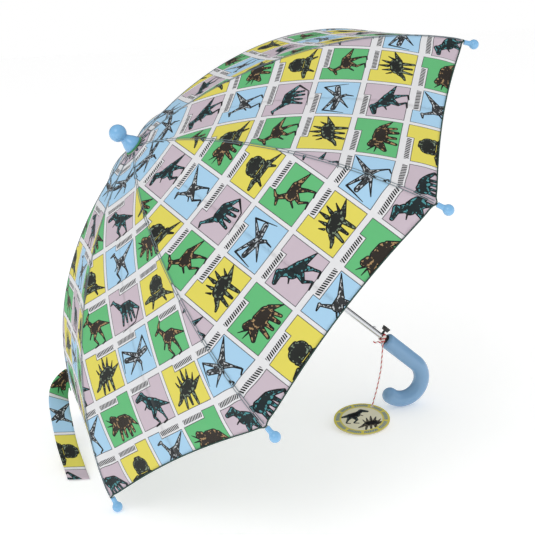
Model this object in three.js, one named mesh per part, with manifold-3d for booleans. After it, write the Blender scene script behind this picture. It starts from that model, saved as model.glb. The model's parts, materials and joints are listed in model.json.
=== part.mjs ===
// A child's stick umbrella, open, lying on two rib tips and the bend of its J handle.
// Every piece is drawn in the umbrella's own axes, with the shaft along Z, the ferrule at the top
// and Z = 0 at the circle of rib tips, and the whole group is then tilted onto the floor.
// All lengths are in millimetres, and angles in degrees.

import * as THREE from 'three';
import { mergeVertices } from 'three/addons/utils/BufferGeometryUtils.js';
import Module from 'manifold-3d';

const wasm = await Module();
wasm.setup();

// Driving dimensions

const RIB_COUNT = 8;
const TIP_CIRCLE_R = 380; // shaft axis to the centre of a rib's ball tip
const PIVOT_Z = 215.5; // height of the rib pivots above the tip circle
const PIVOT_R = 9; // pivot wires of the crown and the runner
const DOME_SLOPE_TOP = 3.4; // slope of a rib where it leaves the crown
const DOME_SLOPE_TIP = 61.4; // slope of a rib at its tip
const RIB_WIDTH = 3;
const RIB_DEPTH = 2.6;
const JOINT_R = 208; // shaft axis to the joint of a rib and its stretcher
const TONGUE_DROP = 4.7; // that joint's distance below the rib's middle line
const TONGUE_THICK = 1.1;
const STRETCHER_WIDTH = 3.2;
const STRETCHER_DEPTH = 2.4;
const EYE_R = 2; // round end of a rib or stretcher
const WIRE_R = 0.6; // pivot wires and rivets
const HOLE_CLEARANCE = 0.35; // between a wire and its hole
const FACE_GAP = 0.3; // between two still pieces that touch
const SLOT_CLEARANCE = 0.4; // each side of a rib or stretcher in its slot

const FABRIC_THICK = 0.8;
const FABRIC_GAP = 1.3; // from a rib's back to the fabric, which is flat between the ribs
const FABRIC_CORNER = 14; // a panel's corner stops this far short of its tip's ball
const HEM_RISE = 4.5; // how far the hem curves in at the middle of a panel, seen from above
const FABRIC_INNER_R = 14.5;

const SHAFT_R = 4;
const SHAFT_WALL = 0.7;
const SHAFT_IN_HANDLE = 36;
const RUNNING_GAP = 0.4; // radial play of the runner on the shaft

const CROWN_R = 12.6;
const CROWN_WEB = 1.4; // closed top of the crown above the rib eyes
const CROWN_DEPTH = 5; // crown below its pivot wire
const ROSETTE_R = 14;
const ROSETTE_THICK = 0.7;

const RUNNER_FLANGE_R = 12.2;
const RUNNER_SLEEVE_R = 7.8;
const RUNNER_SLEEVE = 34; // sleeve length below the pivot wire
const RUNNER_FLOOR = 2.7; // slot floor below the pivot wire
const KEYWAY_R = 6.9;
const KEYWAY_WIDTH = 3.2;
const KEYWAY_BAR = 2.6; // closed foot of the keyway, which the lower catch holds

const FERRULE_BASE_R = 12;
const FERRULE_NECK_R = 5;
const FERRULE_BALL_R = 11;
const FERRULE_HEIGHT = 25; // ball centre above the ferrule's seat

const TIP_BALL_R = 6.1;
const TIP_BORE_CLEARANCE = 0.265; // round the corners of the rib
const TIP_WALL = 0.65;
const TIP_LENGTH = 13; // mouth of the tip's neck to the ball's centre
const TIP_BORE_END = 7;

const HANDLE_TOP = -236;
const HANDLE_TUBE_R = 11.5;
const HANDLE_STRAIGHT = 62;
const HOOK_R = 29.85;
const COLLAR_HEIGHT = 3.6;
const COLLAR_R = 10.2;

const BUTTON_Z = -226;
const NOSE_TOP = -209.2;
const NOSE_REACH = 6.2;
const LEVER_THICK = 0.8;
const LEVER_WIDTH = 1.6;
const LEVER_OUT = 2.9; // lever's outer face from the shaft axis
const LEVER_FOOT = -262;
const UPPER_LEVER_LENGTH = 45;
const BUTTON_CAP_IN = 9;
const BUTTON_CAP_OUT = 15.2;
const BUTTON_CAP_HALF = [3.5, 5]; // half its height at the stem and at its face
const BUTTON_CAP_WIDTH = 8;
const BUTTON_STEM_R = 1.7;

const BUMPER_WIRE_R = 0.7;
const BUMPER_CLEARANCE = 0.2; // between the shaft and the bumper spring
const BUMPER_LENGTH = 22;

const STRAP_WIDTH = 28;
const STRAP_THICK = 1.6;
const STRAP_GAP = 0.9; // off the fabric, whose curve the flat strap doesn't follow
const STRAP_AT = 0.815; // where it is sewn, as a share of the rib's length from the crown
const STRAP_ACROSS = 0.66; // and as a share of the way from the gore's middle to the rib
// Its middle line from the seam: x and y, and the height as a share of the seam's
const STRAP_ROUTE = [
  [0, 0, 1],
  [-1.5, 13, 1],
  [-13, 11, 0.84],
  [-17, -8, 0.67],
  [-17, -38, 0.47],
  [-16, -70, 0.28],
  [-13, -101, 0.12],
  [-10, -131, 0],
];
// Which way its width runs at the third point and after it
const STRAP_SIDES = [
  [0.75, 0.05, -0.66],
  [0.93, -0.28, -0.22],
  [0.94, -0.33, 0],
  [0.94, -0.33, 0],
  [0.94, -0.33, 0],
  [0.94, -0.33, 0],
];
const TAG_R = 39.5;
const TAG_THICK = 1.6;
const TAG_HOLE_R = 2.2;
const TAG_HOLE_FROM_MIDDLE = 34.5;
const TAG_HOLE_AZIMUTH = 62;
const TAG_TILT = 8.8; // the far edge is lifted by the twine
const TAG_TURN = -18.9;
const TAG_FROM_KNOT = [-45.4, -26.2];
const TWINE_R = 1.1;
const KNOT_R = 1.7;
const KNOT_AZIMUTH = 60;
// The free twine: share of the way from the knot to the tag's hole, and its bow in x and y
const TWINE_ROUTE = [
  [0, 0, 0],
  [0.2, 1.2, -2.2],
  [0.45, 2.6, -3],
  [0.72, 2, -1.8],
  [0.9, 0.8, -0.6],
  [1, 0, 0],
];

// Colours, as sRGB, with roughness and metalness

const finish = (color, roughness, metalness = 0) =>
  new THREE.MeshStandardMaterial({ color, roughness, metalness });
const STEEL = finish('#c9ccd1', 0.25, 1);
const CHROME = finish('#dfe2e6', 0.12, 1);
const SPRING_STEEL = finish('#9a9ea6', 0.35, 1);
const BLUE_PLASTIC = finish('#9cc4e6', 0.3);
const HANDLE_PLASTIC = finish('#90b4d2', 0.22);
const BLACK_PLASTIC = finish('#1d1e22', 0.4);
const GREY_PLASTIC = finish('#8d9299', 0.45);
const FABRIC = finish('#bcd9c0', 0.8);
const STRAP_FABRIC = finish('#8fb9d6', 0.85);
const CARD = finish('#e8dfc4', 0.7);
const TWINE = finish('#d9b8b4', 0.9);

// Worked-out sizes

const RIB_STEP = (2 * Math.PI) / RIB_COUNT;
const HALF_GORE = RIB_STEP / 2;
const rad = THREE.MathUtils.degToRad;
const fabricDrop = RIB_DEPTH / 2 + FABRIC_GAP + FABRIC_THICK / 2;
const ribAngle = (index) => HALF_GORE + index * RIB_STEP;

// The rib's middle line in its own plane: x is the distance from the shaft axis and y the height.
// It is one cubic from the crown's pivot to the centre of the tip's ball.
const ribStart = new THREE.Vector2(PIVOT_R, PIVOT_Z);
const ribEnd = new THREE.Vector2(TIP_CIRCLE_R, 0);
const reach = ribStart.distanceTo(ribEnd) / 3;
const along = (slope) => new THREE.Vector2(Math.cos(rad(slope)), -Math.sin(rad(slope)));
const ribLine = new THREE.CubicBezierCurve(
  ribStart,
  ribStart.clone().addScaledVector(along(DOME_SLOPE_TOP), reach),
  ribEnd.clone().addScaledVector(along(DOME_SLOPE_TIP), -reach),
  ribEnd,
);
const ribLength = ribLine.getLength();
const ribNormal = (u) => {
  const tangent = ribLine.getTangent(u);
  return new THREE.Vector2(-tangent.y, tangent.x);
};

// Points beside the rib's middle line: share u of the line, and the distance out from it.
const besideRib = (u, out) => ribLine.getPoint(u).addScaledVector(ribNormal(u), out);
const shareAt = (distance) => ribLine.getUtoTmapping(0, distance);
const shareAtRadius = (radius) => {
  let share = 0;
  while (ribLine.getPoint(share).x < radius) share += 0.0005;
  return share;
};

const jointShare = shareAtRadius(JOINT_R);
const joint = besideRib(jointShare, -TONGUE_DROP);
const runnerZ = 2 * joint.y - PIVOT_Z;
const crownTop = PIVOT_Z + EYE_R + CROWN_WEB + 0.1;
const rosetteTop = crownTop + FACE_GAP + ROSETTE_THICK;
const ferruleSeat = rosetteTop + FACE_GAP;
const ferruleBallZ = ferruleSeat + FERRULE_HEIGHT;
const runnerFoot = runnerZ - RUNNER_SLEEVE;
const handleBend = HANDLE_TOP - HANDLE_STRAIGHT;

// Solid modelling helpers

function toSolid(geometry) {
  const bare = geometry.clone();
  bare.deleteAttribute('normal');
  bare.deleteAttribute('uv');
  const merged = mergeVertices(bare, 1e-4);
  const index = merged.index.array;
  const position = merged.attributes.position.array;
  return new wasm.Manifold(
    new wasm.Mesh({
      numProp: 3,
      vertProperties: new Float32Array(position),
      triVerts: new Uint32Array(index),
    }),
  );
}

function toGeometry(solid) {
  const mesh = solid.getMesh();
  const geometry = new THREE.BufferGeometry();
  geometry.setAttribute('position', new THREE.BufferAttribute(mesh.vertProperties, 3));
  geometry.setIndex(new THREE.BufferAttribute(mesh.triVerts, 1));
  geometry.computeVertexNormals();
  return geometry;
}

function cut(geometry, ...tools) {
  let solid = toSolid(geometry);
  for (const tool of tools) solid = solid.subtract(toSolid(tool));
  return toGeometry(solid);
}

function join(geometry, ...others) {
  let solid = toSolid(geometry);
  for (const other of others) solid = solid.add(toSolid(other));
  return toGeometry(solid);
}

// A body turned about Z from [radius, height] pairs, listed upwards along the outside.
function turned(profile, segments = 24) {
  const points = profile.map(([radius, height]) => new THREE.Vector2(radius, height));
  return new THREE.LatheGeometry(points, segments).rotateX(Math.PI / 2).rotateZ(Math.PI);
}

// A ring of rectangular section about Z.
function ring(inner, outer, low, high, segments = 24) {
  return turned([[inner, low], [outer, low], [outer, high], [inner, high], [inner, low]], segments);
}

// A ring of wire about Z.
function wireRing(radius, wire, height) {
  const profile = [];
  for (let i = 0; i <= 6; i += 1) {
    const angle = -Math.PI / 2 + (i / 6) * 2 * Math.PI;
    profile.push([radius + wire * Math.cos(angle), height + wire * Math.sin(angle)]);
  }
  return turned(profile);
}

function box(low, high) {
  const size = high.map((value, axis) => value - low[axis]);
  const middle = high.map((value, axis) => (value + low[axis]) / 2);
  return new THREE.BoxGeometry(...size).translate(...middle);
}

function rod(radius, from, to, segments = 12) {
  const direction = to.clone().sub(from);
  const geometry = new THREE.CylinderGeometry(radius, radius, direction.length(), segments);
  const turn = new THREE.Quaternion().setFromUnitVectors(
    new THREE.Vector3(0, 1, 0),
    direction.clone().normalize(),
  );
  const middle = from.clone().add(to).multiplyScalar(0.5);
  return geometry.applyQuaternion(turn).translate(middle.x, middle.y, middle.z);
}

// A flat plate from an outline of [x, z] points, as thick as stated, centred on Y = 0.
function plate(outline, thick, holes = []) {
  const shape = new THREE.Shape(outline.map(([x, z]) => new THREE.Vector2(x, z)));
  for (const [x, z, radius] of holes) {
    shape.holes.push(new THREE.Path().absarc(x, z, radius, 0, 2 * Math.PI, true));
  }
  return new THREE.ExtrudeGeometry(shape, { depth: thick, bevelEnabled: false, curveSegments: 5 })
    .rotateX(Math.PI / 2)
    .translate(0, thick / 2, 0);
}

// Part of a circle as [x, z] points, from one angle to another, in radians.
function arc(x, z, radius, from, to, steps) {
  const points = [];
  for (let i = 0; i <= steps; i += 1) {
    const angle = from + ((to - from) * i) / steps;
    points.push([x + radius * Math.cos(angle), z + radius * Math.sin(angle)]);
  }
  return points;
}

const umbrella = new THREE.Group();

function addPiece(name, geometry, material, angle = 0) {
  const mesh = new THREE.Mesh(geometry, material);
  mesh.name = name;
  mesh.rotation.z = angle;
  umbrella.add(mesh);
  return mesh;
}

// Shaft: a steel tube from inside the handle to the ferrule's seat, with a slot for each catch.

const boreR = SHAFT_R - SHAFT_WALL;
const shaftTop = rosetteTop;
const upperNoseTop = runnerFoot - 1.2;
const upperFoot = upperNoseTop - UPPER_LEVER_LENGTH;
const slotHalf = LEVER_WIDTH / 2 + 0.35;
const shaftTube = cut(
  ring(boreR, SHAFT_R, HANDLE_TOP - SHAFT_IN_HANDLE, shaftTop),
  box([-SHAFT_R - 1, -slotHalf, NOSE_TOP - 4.4], [0, slotHalf, NOSE_TOP + 4.4]),
  box(
    [-SHAFT_R - 1, -BUTTON_STEM_R - 0.4, BUTTON_Z - BUTTON_STEM_R - 0.6],
    [0, BUTTON_STEM_R + 0.4, BUTTON_Z + BUTTON_STEM_R + 0.6],
  ),
  box([-SHAFT_R - 1, -slotHalf, upperNoseTop - 8], [0, slotHalf, upperNoseTop + 1.4]),
);
addPiece('shaft_tube', shaftTube, CHROME);

// Handle: a moulded J, round in section, with a blind bore for the shaft.

class HookCurve extends THREE.Curve {
  getPoint(t, target = new THREE.Vector3()) {
    const distance = t * (HANDLE_STRAIGHT + Math.PI * HOOK_R);
    if (distance < HANDLE_STRAIGHT) return target.set(0, 0, HANDLE_TOP - distance);
    const angle = Math.PI + (distance - HANDLE_STRAIGHT) / HOOK_R;
    return target.set(HOOK_R + HOOK_R * Math.cos(angle), 0, handleBend + HOOK_R * Math.sin(angle));
  }
}

function roundSection(radius, sides) {
  const shape = new THREE.Shape();
  for (let i = 0; i < sides; i += 1) {
    const angle = (i / sides) * 2 * Math.PI;
    const point = [radius * Math.cos(angle), radius * Math.sin(angle)];
    if (i === 0) shape.moveTo(...point);
    else shape.lineTo(...point);
  }
  shape.closePath();
  return shape;
}

const hookTube = new THREE.ExtrudeGeometry(roundSection(HANDLE_TUBE_R, 16), {
  steps: 26,
  bevelEnabled: false,
  extrudePath: new HookCurve(),
});
const hookEnd = new THREE.SphereGeometry(HANDLE_TUBE_R, 16, 8)
  .rotateX(Math.PI / 2)
  .scale(0.995, 0.995, 0.5)
  .translate(2 * HOOK_R, 0, handleBend);
const handleBore = rod(
  SHAFT_R + FACE_GAP,
  new THREE.Vector3(0, 0, HANDLE_TOP + 1),
  new THREE.Vector3(0, 0, HANDLE_TOP - SHAFT_IN_HANDLE - 1),
  24,
);
addPiece('handle', cut(join(hookTube, hookEnd), handleBore), HANDLE_PLASTIC);
addPiece(
  'handle_collar',
  ring(SHAFT_R + FACE_GAP, COLLAR_R, HANDLE_TOP + FACE_GAP, HANDLE_TOP + FACE_GAP + COLLAR_HEIGHT),
  GREY_PLASTIC,
);

// Lower catch: a lever inside the shaft whose nose holds the closed runner, and its push button.

function leverOutline(foot, top, nose) {
  const outer = -LEVER_OUT;
  const inner = -LEVER_OUT + LEVER_THICK;
  return [[inner, foot], [inner, top], [outer, top], ...nose, [outer, foot]];
}

const lowerNose = [
  [-LEVER_OUT, NOSE_TOP + 3],
  [-NOSE_REACH, NOSE_TOP],
  [-NOSE_REACH, NOSE_TOP - 3],
  [-LEVER_OUT, NOSE_TOP - 3],
];
addPiece(
  'catch_lever',
  plate(leverOutline(LEVER_FOOT, NOSE_TOP + 4, lowerNose), LEVER_WIDTH),
  SPRING_STEEL,
);

const capOutline = [
  [-BUTTON_CAP_IN, BUTTON_Z - BUTTON_CAP_HALF[0]],
  [-BUTTON_CAP_IN, BUTTON_Z + BUTTON_CAP_HALF[0]],
  [-BUTTON_CAP_OUT, BUTTON_Z + BUTTON_CAP_HALF[1]],
  [-BUTTON_CAP_OUT, BUTTON_Z - BUTTON_CAP_HALF[1]],
];
const buttonStem = rod(
  BUTTON_STEM_R,
  new THREE.Vector3(-BUTTON_CAP_IN - 1, 0, BUTTON_Z),
  new THREE.Vector3(-LEVER_OUT - FACE_GAP, 0, BUTTON_Z),
);
addPiece('release_button', join(plate(capOutline, BUTTON_CAP_WIDTH), buttonStem), BLACK_PLASTIC);
addPiece(
  'button_spring',
  rod(
    1.2,
    new THREE.Vector3(-LEVER_OUT + LEVER_THICK + FACE_GAP, 0, BUTTON_Z),
    new THREE.Vector3(boreR - 0.6, 0, BUTTON_Z),
  ),
  SPRING_STEEL,
);

// Upper catch: a second lever that the opened runner passes and then rests on.

const upperNose = [
  [-LEVER_OUT, upperNoseTop],
  [-NOSE_REACH, upperNoseTop],
  [-NOSE_REACH, upperNoseTop - 1.5],
  [-LEVER_OUT, upperNoseTop - 6.5],
];
addPiece(
  'upper_catch',
  plate(leverOutline(upperFoot, upperNoseTop + 1, upperNose), LEVER_WIDTH),
  SPRING_STEEL,
);

// Crown: the top notch, a turned block slotted for the ribs and threaded by their pivot wire.

function slotCutters(count, width, inner, outer, low, high) {
  const cutters = [];
  for (let i = 0; i < count; i += 1) {
    cutters.push(box([inner, -width / 2, low], [outer, width / 2, high]).rotateZ(ribAngle(i)));
  }
  return cutters;
}

const wireChannel = (height) => ring(
  PIVOT_R - WIRE_R - 0.3,
  PIVOT_R + WIRE_R + 0.3,
  height - WIRE_R - 0.3,
  height + WIRE_R + 0.3,
);
const crownFoot = PIVOT_Z - CROWN_DEPTH;
const crown = cut(
  turned([
    [SHAFT_R + FACE_GAP, crownFoot],
    [CROWN_R - 1.6, crownFoot],
    [CROWN_R, crownFoot + 1.6],
    [CROWN_R, crownTop - 0.8],
    [CROWN_R - 0.8, crownTop],
    [SHAFT_R + FACE_GAP, crownTop],
    [SHAFT_R + FACE_GAP, crownFoot],
  ]),
  wireChannel(PIVOT_Z),
  ...slotCutters(
    RIB_COUNT,
    RIB_WIDTH + 2 * SLOT_CLEARANCE,
    PIVOT_R - EYE_R - 0.6,
    CROWN_R + 2,
    crownFoot - 1,
    PIVOT_Z + EYE_R + 0.1,
  ),
);
addPiece('crown', crown, STEEL);
addPiece('crown_wire', wireRing(PIVOT_R, WIRE_R, PIVOT_Z), STEEL);

// Bumper spring: it takes the runner's blow below the crown, drawn as one sleeve.

const bumperTop = crownFoot - FACE_GAP;
const bumperBore = SHAFT_R + BUMPER_CLEARANCE;
addPiece(
  'bumper_spring',
  ring(
    bumperBore,
    bumperBore + 2 * BUMPER_WIRE_R,
    bumperTop - BUMPER_LENGTH,
    bumperTop,
  ),
  SPRING_STEEL,
);

// Rosette and ferrule: they clamp the middle of the canopy on the crown.

addPiece(
  'canopy_rosette',
  ring(SHAFT_R + FACE_GAP, ROSETTE_R, crownTop + FACE_GAP, rosetteTop),
  FABRIC,
);

const ferruleProfile = [
  [0, ferruleSeat],
  [FERRULE_BASE_R, ferruleSeat],
  [FERRULE_BASE_R + 0.3, ferruleSeat + 1.2],
  [FERRULE_BASE_R - 1, ferruleSeat + 5.5],
  [FERRULE_BASE_R - 3.6, ferruleSeat + 9.4],
  [FERRULE_NECK_R + 0.9, ferruleSeat + 12.6],
];
const neckAngle = -Math.acos(FERRULE_NECK_R / FERRULE_BALL_R);
for (let i = 0; i <= 8; i += 1) {
  const angle = neckAngle + ((Math.PI / 2 - neckAngle) * i) / 8;
  const radius = i === 8 ? 0 : FERRULE_BALL_R * Math.cos(angle);
  ferruleProfile.push([radius, ferruleBallZ + FERRULE_BALL_R * Math.sin(angle)]);
}
addPiece('ferrule', turned(ferruleProfile), BLUE_PLASTIC);

// Runner: the sliding sleeve, slotted like the crown, with a keyway that clears the catches.

const runnerTop = runnerZ + EYE_R + 1.4;
const flangeLow = runnerZ - RUNNER_FLOOR - 2.4;
const runner = cut(
  turned([
    [SHAFT_R + RUNNING_GAP, runnerFoot],
    [RUNNER_SLEEVE_R, runnerFoot],
    [RUNNER_SLEEVE_R, flangeLow - 3],
    [RUNNER_FLANGE_R, flangeLow],
    [RUNNER_FLANGE_R, runnerTop],
    [SHAFT_R + RUNNING_GAP, runnerTop],
    [SHAFT_R + RUNNING_GAP, runnerFoot],
  ]),
  wireChannel(runnerZ),
  box(
    [-KEYWAY_R, -KEYWAY_WIDTH / 2, runnerFoot + KEYWAY_BAR],
    [0, KEYWAY_WIDTH / 2, flangeLow - 1],
  ),
  ...slotCutters(
    RIB_COUNT,
    STRETCHER_WIDTH + 2 * SLOT_CLEARANCE,
    PIVOT_R - EYE_R - 0.6,
    RUNNER_FLANGE_R + 2,
    runnerZ - RUNNER_FLOOR,
    runnerTop + 1,
  ),
);
addPiece('runner', runner, BLACK_PLASTIC);
addPiece('runner_wire', wireRing(PIVOT_R, WIRE_R, runnerZ), STEEL);

// Ribs: curved bars with an eye on the crown's wire and a tongue for the stretcher.

const eyeHole = WIRE_R + HOLE_CLEARANCE;
const tipMouthShare = shareAt(ribLength - TIP_LENGTH);
const ribStopShare = shareAt(ribLength - TIP_BORE_END - 0.5);

function ribGeometry() {
  const steps = 12;
  const eyeStart = shareAt(EYE_R);
  const outer = [];
  const inner = [];
  for (let i = 0; i <= steps; i += 1) {
    const share = eyeStart + ((ribStopShare - eyeStart) * i) / steps;
    outer.push(besideRib(share, RIB_DEPTH / 2).toArray());
    inner.push(besideRib(share, -RIB_DEPTH / 2).toArray());
  }
  const slope = rad(DOME_SLOPE_TOP);
  const spread = Math.asin(RIB_DEPTH / 2 / EYE_R);
  const eye = arc(PIVOT_R, PIVOT_Z, EYE_R, spread - slope, 2 * Math.PI - spread - slope, 9);
  const outline = [...outer.reverse(), ...eye, ...inner];
  const bar = plate(outline, RIB_WIDTH, [[PIVOT_R, PIVOT_Z, eyeHole]]);
  const root = ribLine.getPoint(jointShare);
  const down = Math.atan2(joint.y - root.y, joint.x - root.x);
  const side = new THREE.Vector2(-Math.sin(down), Math.cos(down)).multiplyScalar(EYE_R);
  const tongue = plate(
    [
      [root.x - side.x, root.y - side.y],
      ...arc(joint.x, joint.y, EYE_R, down - Math.PI / 2, down + Math.PI / 2, 6),
      [root.x + side.x, root.y + side.y],
    ],
    TONGUE_THICK,
    [[joint.x, joint.y, eyeHole]],
  );
  return join(bar, tongue);
}

// Stretchers: straight bars from the runner's wire to the tongue, forked at the upper end.

function stretcherGeometry() {
  const half = STRETCHER_DEPTH / 2;
  const lower = new THREE.Vector2(PIVOT_R, runnerZ);
  const slope = Math.atan2(joint.y - lower.y, joint.x - lower.x);
  const spread = Math.asin(half / EYE_R);
  const outline = [
    ...arc(joint.x, joint.y, EYE_R, slope - Math.PI + spread, slope + Math.PI - spread, 9),
    ...arc(lower.x, lower.y, EYE_R, slope + spread, slope + 2 * Math.PI - spread, 9),
  ];
  const bar = plate(outline, STRETCHER_WIDTH, [[lower.x, lower.y, eyeHole]]);
  const forkHalf = TONGUE_THICK / 2 + SLOT_CLEARANCE;
  const forkBack = 12;
  const fork = box([-forkBack, -forkHalf, -4], [6, forkHalf, 4])
    .rotateY(-slope)
    .translate(joint.x, 0, joint.y);
  const rivetHalf = STRETCHER_WIDTH / 2;
  const rivet = rod(
    WIRE_R,
    new THREE.Vector3(joint.x, -rivetHalf, joint.y),
    new THREE.Vector3(joint.x, rivetHalf, joint.y),
    8,
  );
  return join(cut(bar, fork), rivet);
}

// Rib tips: ball-ended caps pushed over the ribs' ends.

function tipGeometry() {
  const bore = Math.hypot(RIB_WIDTH, RIB_DEPTH) / 2 + TIP_BORE_CLEARANCE;
  const neck = bore + TIP_WALL;
  const profile = [
    [0, -TIP_BORE_END],
    [bore, -TIP_BORE_END],
    [bore, -TIP_LENGTH],
    [neck, -TIP_LENGTH],
  ];
  const start = -Math.acos(neck / TIP_BALL_R);
  for (let i = 0; i <= 5; i += 1) {
    const angle = start + ((Math.PI / 2 - start) * i) / 5;
    const radius = i === 5 ? 0 : TIP_BALL_R * Math.cos(angle);
    profile.push([radius, TIP_BALL_R * Math.sin(angle)]);
  }
  const mouth = ribLine.getPoint(tipMouthShare);
  const direction = ribEnd.clone().sub(mouth);
  const turn = Math.atan2(direction.x, direction.y);
  return turned(profile, 12).rotateY(turn).translate(ribEnd.x, 0, ribEnd.y);
}

// Canopy panels: each gore is two half gores that meet at its middle crease. A gore's fabric runs
// straight across from rib to rib, so a half gore is the rib's curve swept sideways and trimmed
// by the crease, the rib and the hem.

function panelGeometry(side) {
  const steps = 12;
  const first = shareAtRadius(FABRIC_INNER_R);
  const last = shareAt(ribLength - FABRIC_CORNER);
  const flatten = Math.cos(HALF_GORE);
  const upper = [];
  const lower = [];
  for (let i = 0; i <= steps; i += 1) {
    const share = first + ((last - first) * i) / steps;
    const outside = besideRib(share, fabricDrop + FABRIC_THICK / 2);
    const inside = besideRib(share, fabricDrop - FABRIC_THICK / 2);
    upper.push([outside.x * flatten, outside.y]);
    lower.push([inside.x * flatten, inside.y]);
  }
  const band = plate([...upper.reverse(), ...lower], TIP_CIRCLE_R);
  const near = FABRIC_INNER_R * flatten - 2;
  const far = besideRib(last, 0).x * flatten;
  const slope = Math.tan(HALF_GORE);
  const edge = FACE_GAP / 2;
  const outline = [[near, edge], [near, near * slope - edge]];
  for (let i = 5; i >= 0; i -= 1) {
    const across = edge + ((far * slope - 2 * edge) * i) / 5;
    outline.push([far - HEM_RISE * (1 - (i / 5) ** 2), across]);
  }
  const shape = new THREE.Shape(outline.map(([x, y]) => new THREE.Vector2(x, y)));
  const prism = new THREE.ExtrudeGeometry(shape, { depth: 400, bevelEnabled: false })
    .translate(0, 0, -100);
  const half = toSolid(band).intersect(toSolid(prism));
  return toGeometry(side > 0 ? half : half.mirror([0, 1, 0]));
}

for (let i = 0; i < RIB_COUNT; i += 1) {
  const number = i + 1;
  const goreMiddle = (i + 1) * RIB_STEP;
  addPiece(`rib_${number}`, ribGeometry(), STEEL, ribAngle(i));
  addPiece(`rib_tip_${number}`, tipGeometry(), BLUE_PLASTIC, ribAngle(i));
  addPiece(`stretcher_${number}`, stretcherGeometry(), STEEL, ribAngle(i));
  addPiece(`panel_${number}_a`, panelGeometry(-1), FABRIC, goreMiddle);
  addPiece(`panel_${number}_b`, panelGeometry(1), FABRIC, goreMiddle);
}

// Lie the umbrella down: its two lowest tips and the bend of its handle touch the floor.

const rimLow = TIP_CIRCLE_R * Math.cos(HALF_GORE);
const overR = rimLow - HOOK_R;
const lever = Math.hypot(overR, handleBend);
const drop = HOOK_R + HANDLE_TUBE_R - TIP_BALL_R;
const tilt = Math.acos(drop / lever) - Math.atan2(-handleBend, overR);
const low = new THREE.Vector3(-Math.sin(tilt), 0, -Math.cos(tilt));
const axis = new THREE.Vector3(-Math.cos(tilt), 0, Math.sin(tilt));
const across = new THREE.Vector3(0, -1, 0);
umbrella.quaternion.setFromRotationMatrix(new THREE.Matrix4().makeBasis(low, across, axis));
umbrella.position.set(0, 0, rimLow * Math.cos(tilt) + TIP_BALL_R);

// Pieces drawn in the floor's own axes: the strap, the twine and the tag.

umbrella.updateMatrixWorld();
const model = new THREE.Group();
model.add(umbrella);
const onFloor = (x, y, z) => new THREE.Vector3(x, y, z).applyMatrix4(umbrella.matrixWorld);

// A flat band from its stations: where its middle is, and which way its width runs.
function band(centres, sides, width, thick) {
  const steps = 3 * (centres.length - 1);
  const path = new THREE.CatmullRomCurve3(centres, false, 'centripetal');
  const turns = new THREE.CatmullRomCurve3(sides, false, 'centripetal');
  const positions = [];
  const faces = [];
  for (let i = 0; i <= steps; i += 1) {
    const side = turns.getPoint(i / steps).normalize();
    const out = path.getTangent(i / steps).cross(side).normalize();
    const centre = path.getPoint(i / steps);
    for (const [across, up] of [[-1, -1], [1, -1], [1, 1], [-1, 1]]) {
      const corner = centre.clone().addScaledVector(side, (across * width) / 2);
      positions.push(...corner.addScaledVector(out, (up * thick) / 2).toArray());
    }
  }
  for (let i = 0; i < steps; i += 1) {
    for (let k = 0; k < 4; k += 1) {
      const here = [4 * i + k, 4 * i + ((k + 1) % 4)];
      const next = here.map((corner) => corner + 4);
      faces.push(here[0], here[1], next[1], here[0], next[1], next[0]);
    }
  }
  const end = 4 * steps;
  faces.push(0, 2, 1, 0, 3, 2, end, end + 1, end + 2, end, end + 2, end + 3);
  const geometry = new THREE.BufferGeometry();
  geometry.setAttribute('position', new THREE.Float32BufferAttribute(positions, 3));
  geometry.setIndex(faces);
  geometry.computeVertexNormals();
  return geometry;
}

// Closing strap: sewn by its end on the lowest gore beside rib 8, it leaves the canopy and slopes
// down to the floor.
const strapShare = shareAt(STRAP_AT * ribLength);
const strapSeat = besideRib(strapShare, fabricDrop + (FABRIC_THICK + STRAP_THICK) / 2 + STRAP_GAP);
const seatAcross = Math.tan(HALF_GORE) * strapSeat.x * Math.cos(HALF_GORE) * STRAP_ACROSS;
const strapStart = onFloor(strapSeat.x * Math.cos(HALF_GORE), -seatAcross, strapSeat.y);
const seatTangent = ribLine.getTangent(strapShare);
const seatDown = onFloor(seatTangent.x, 0, seatTangent.y).sub(umbrella.position);
const strapRise = strapStart.z - STRAP_THICK;
const strapCentres = STRAP_ROUTE.map(([x, y, height]) => new THREE.Vector3(
  strapStart.x + x,
  strapStart.y + y,
  STRAP_THICK + strapRise * height,
));
const strapSides = [
  seatDown,
  seatDown,
  ...STRAP_SIDES.map((side) => new THREE.Vector3(...side)),
];
const strap = new THREE.Mesh(
  band(strapCentres, strapSides, STRAP_WIDTH, STRAP_THICK),
  STRAP_FABRIC,
);
strap.name = 'strap';
model.add(strap);

// Twine round the shaft above the handle, with its knot, and the free twine down to the tag.
const wrapZ = HANDLE_TOP + FACE_GAP + COLLAR_HEIGHT + KNOT_R + FACE_GAP;
const wrapR = SHAFT_R + TWINE_R + 0.5;
const knotTurn = rad(KNOT_AZIMUTH);
const knotAt = (radius) => new THREE.Vector3(
  radius * Math.cos(knotTurn),
  radius * Math.sin(knotTurn),
  wrapZ,
);
const knotCentre = knotAt(wrapR + KNOT_R - 0.4);
const knot = new THREE.SphereGeometry(KNOT_R, 10, 6).translate(...knotCentre.toArray());
addPiece('twine_wrap', join(wireRing(wrapR, TWINE_R, wrapZ), knot), TWINE);

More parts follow.
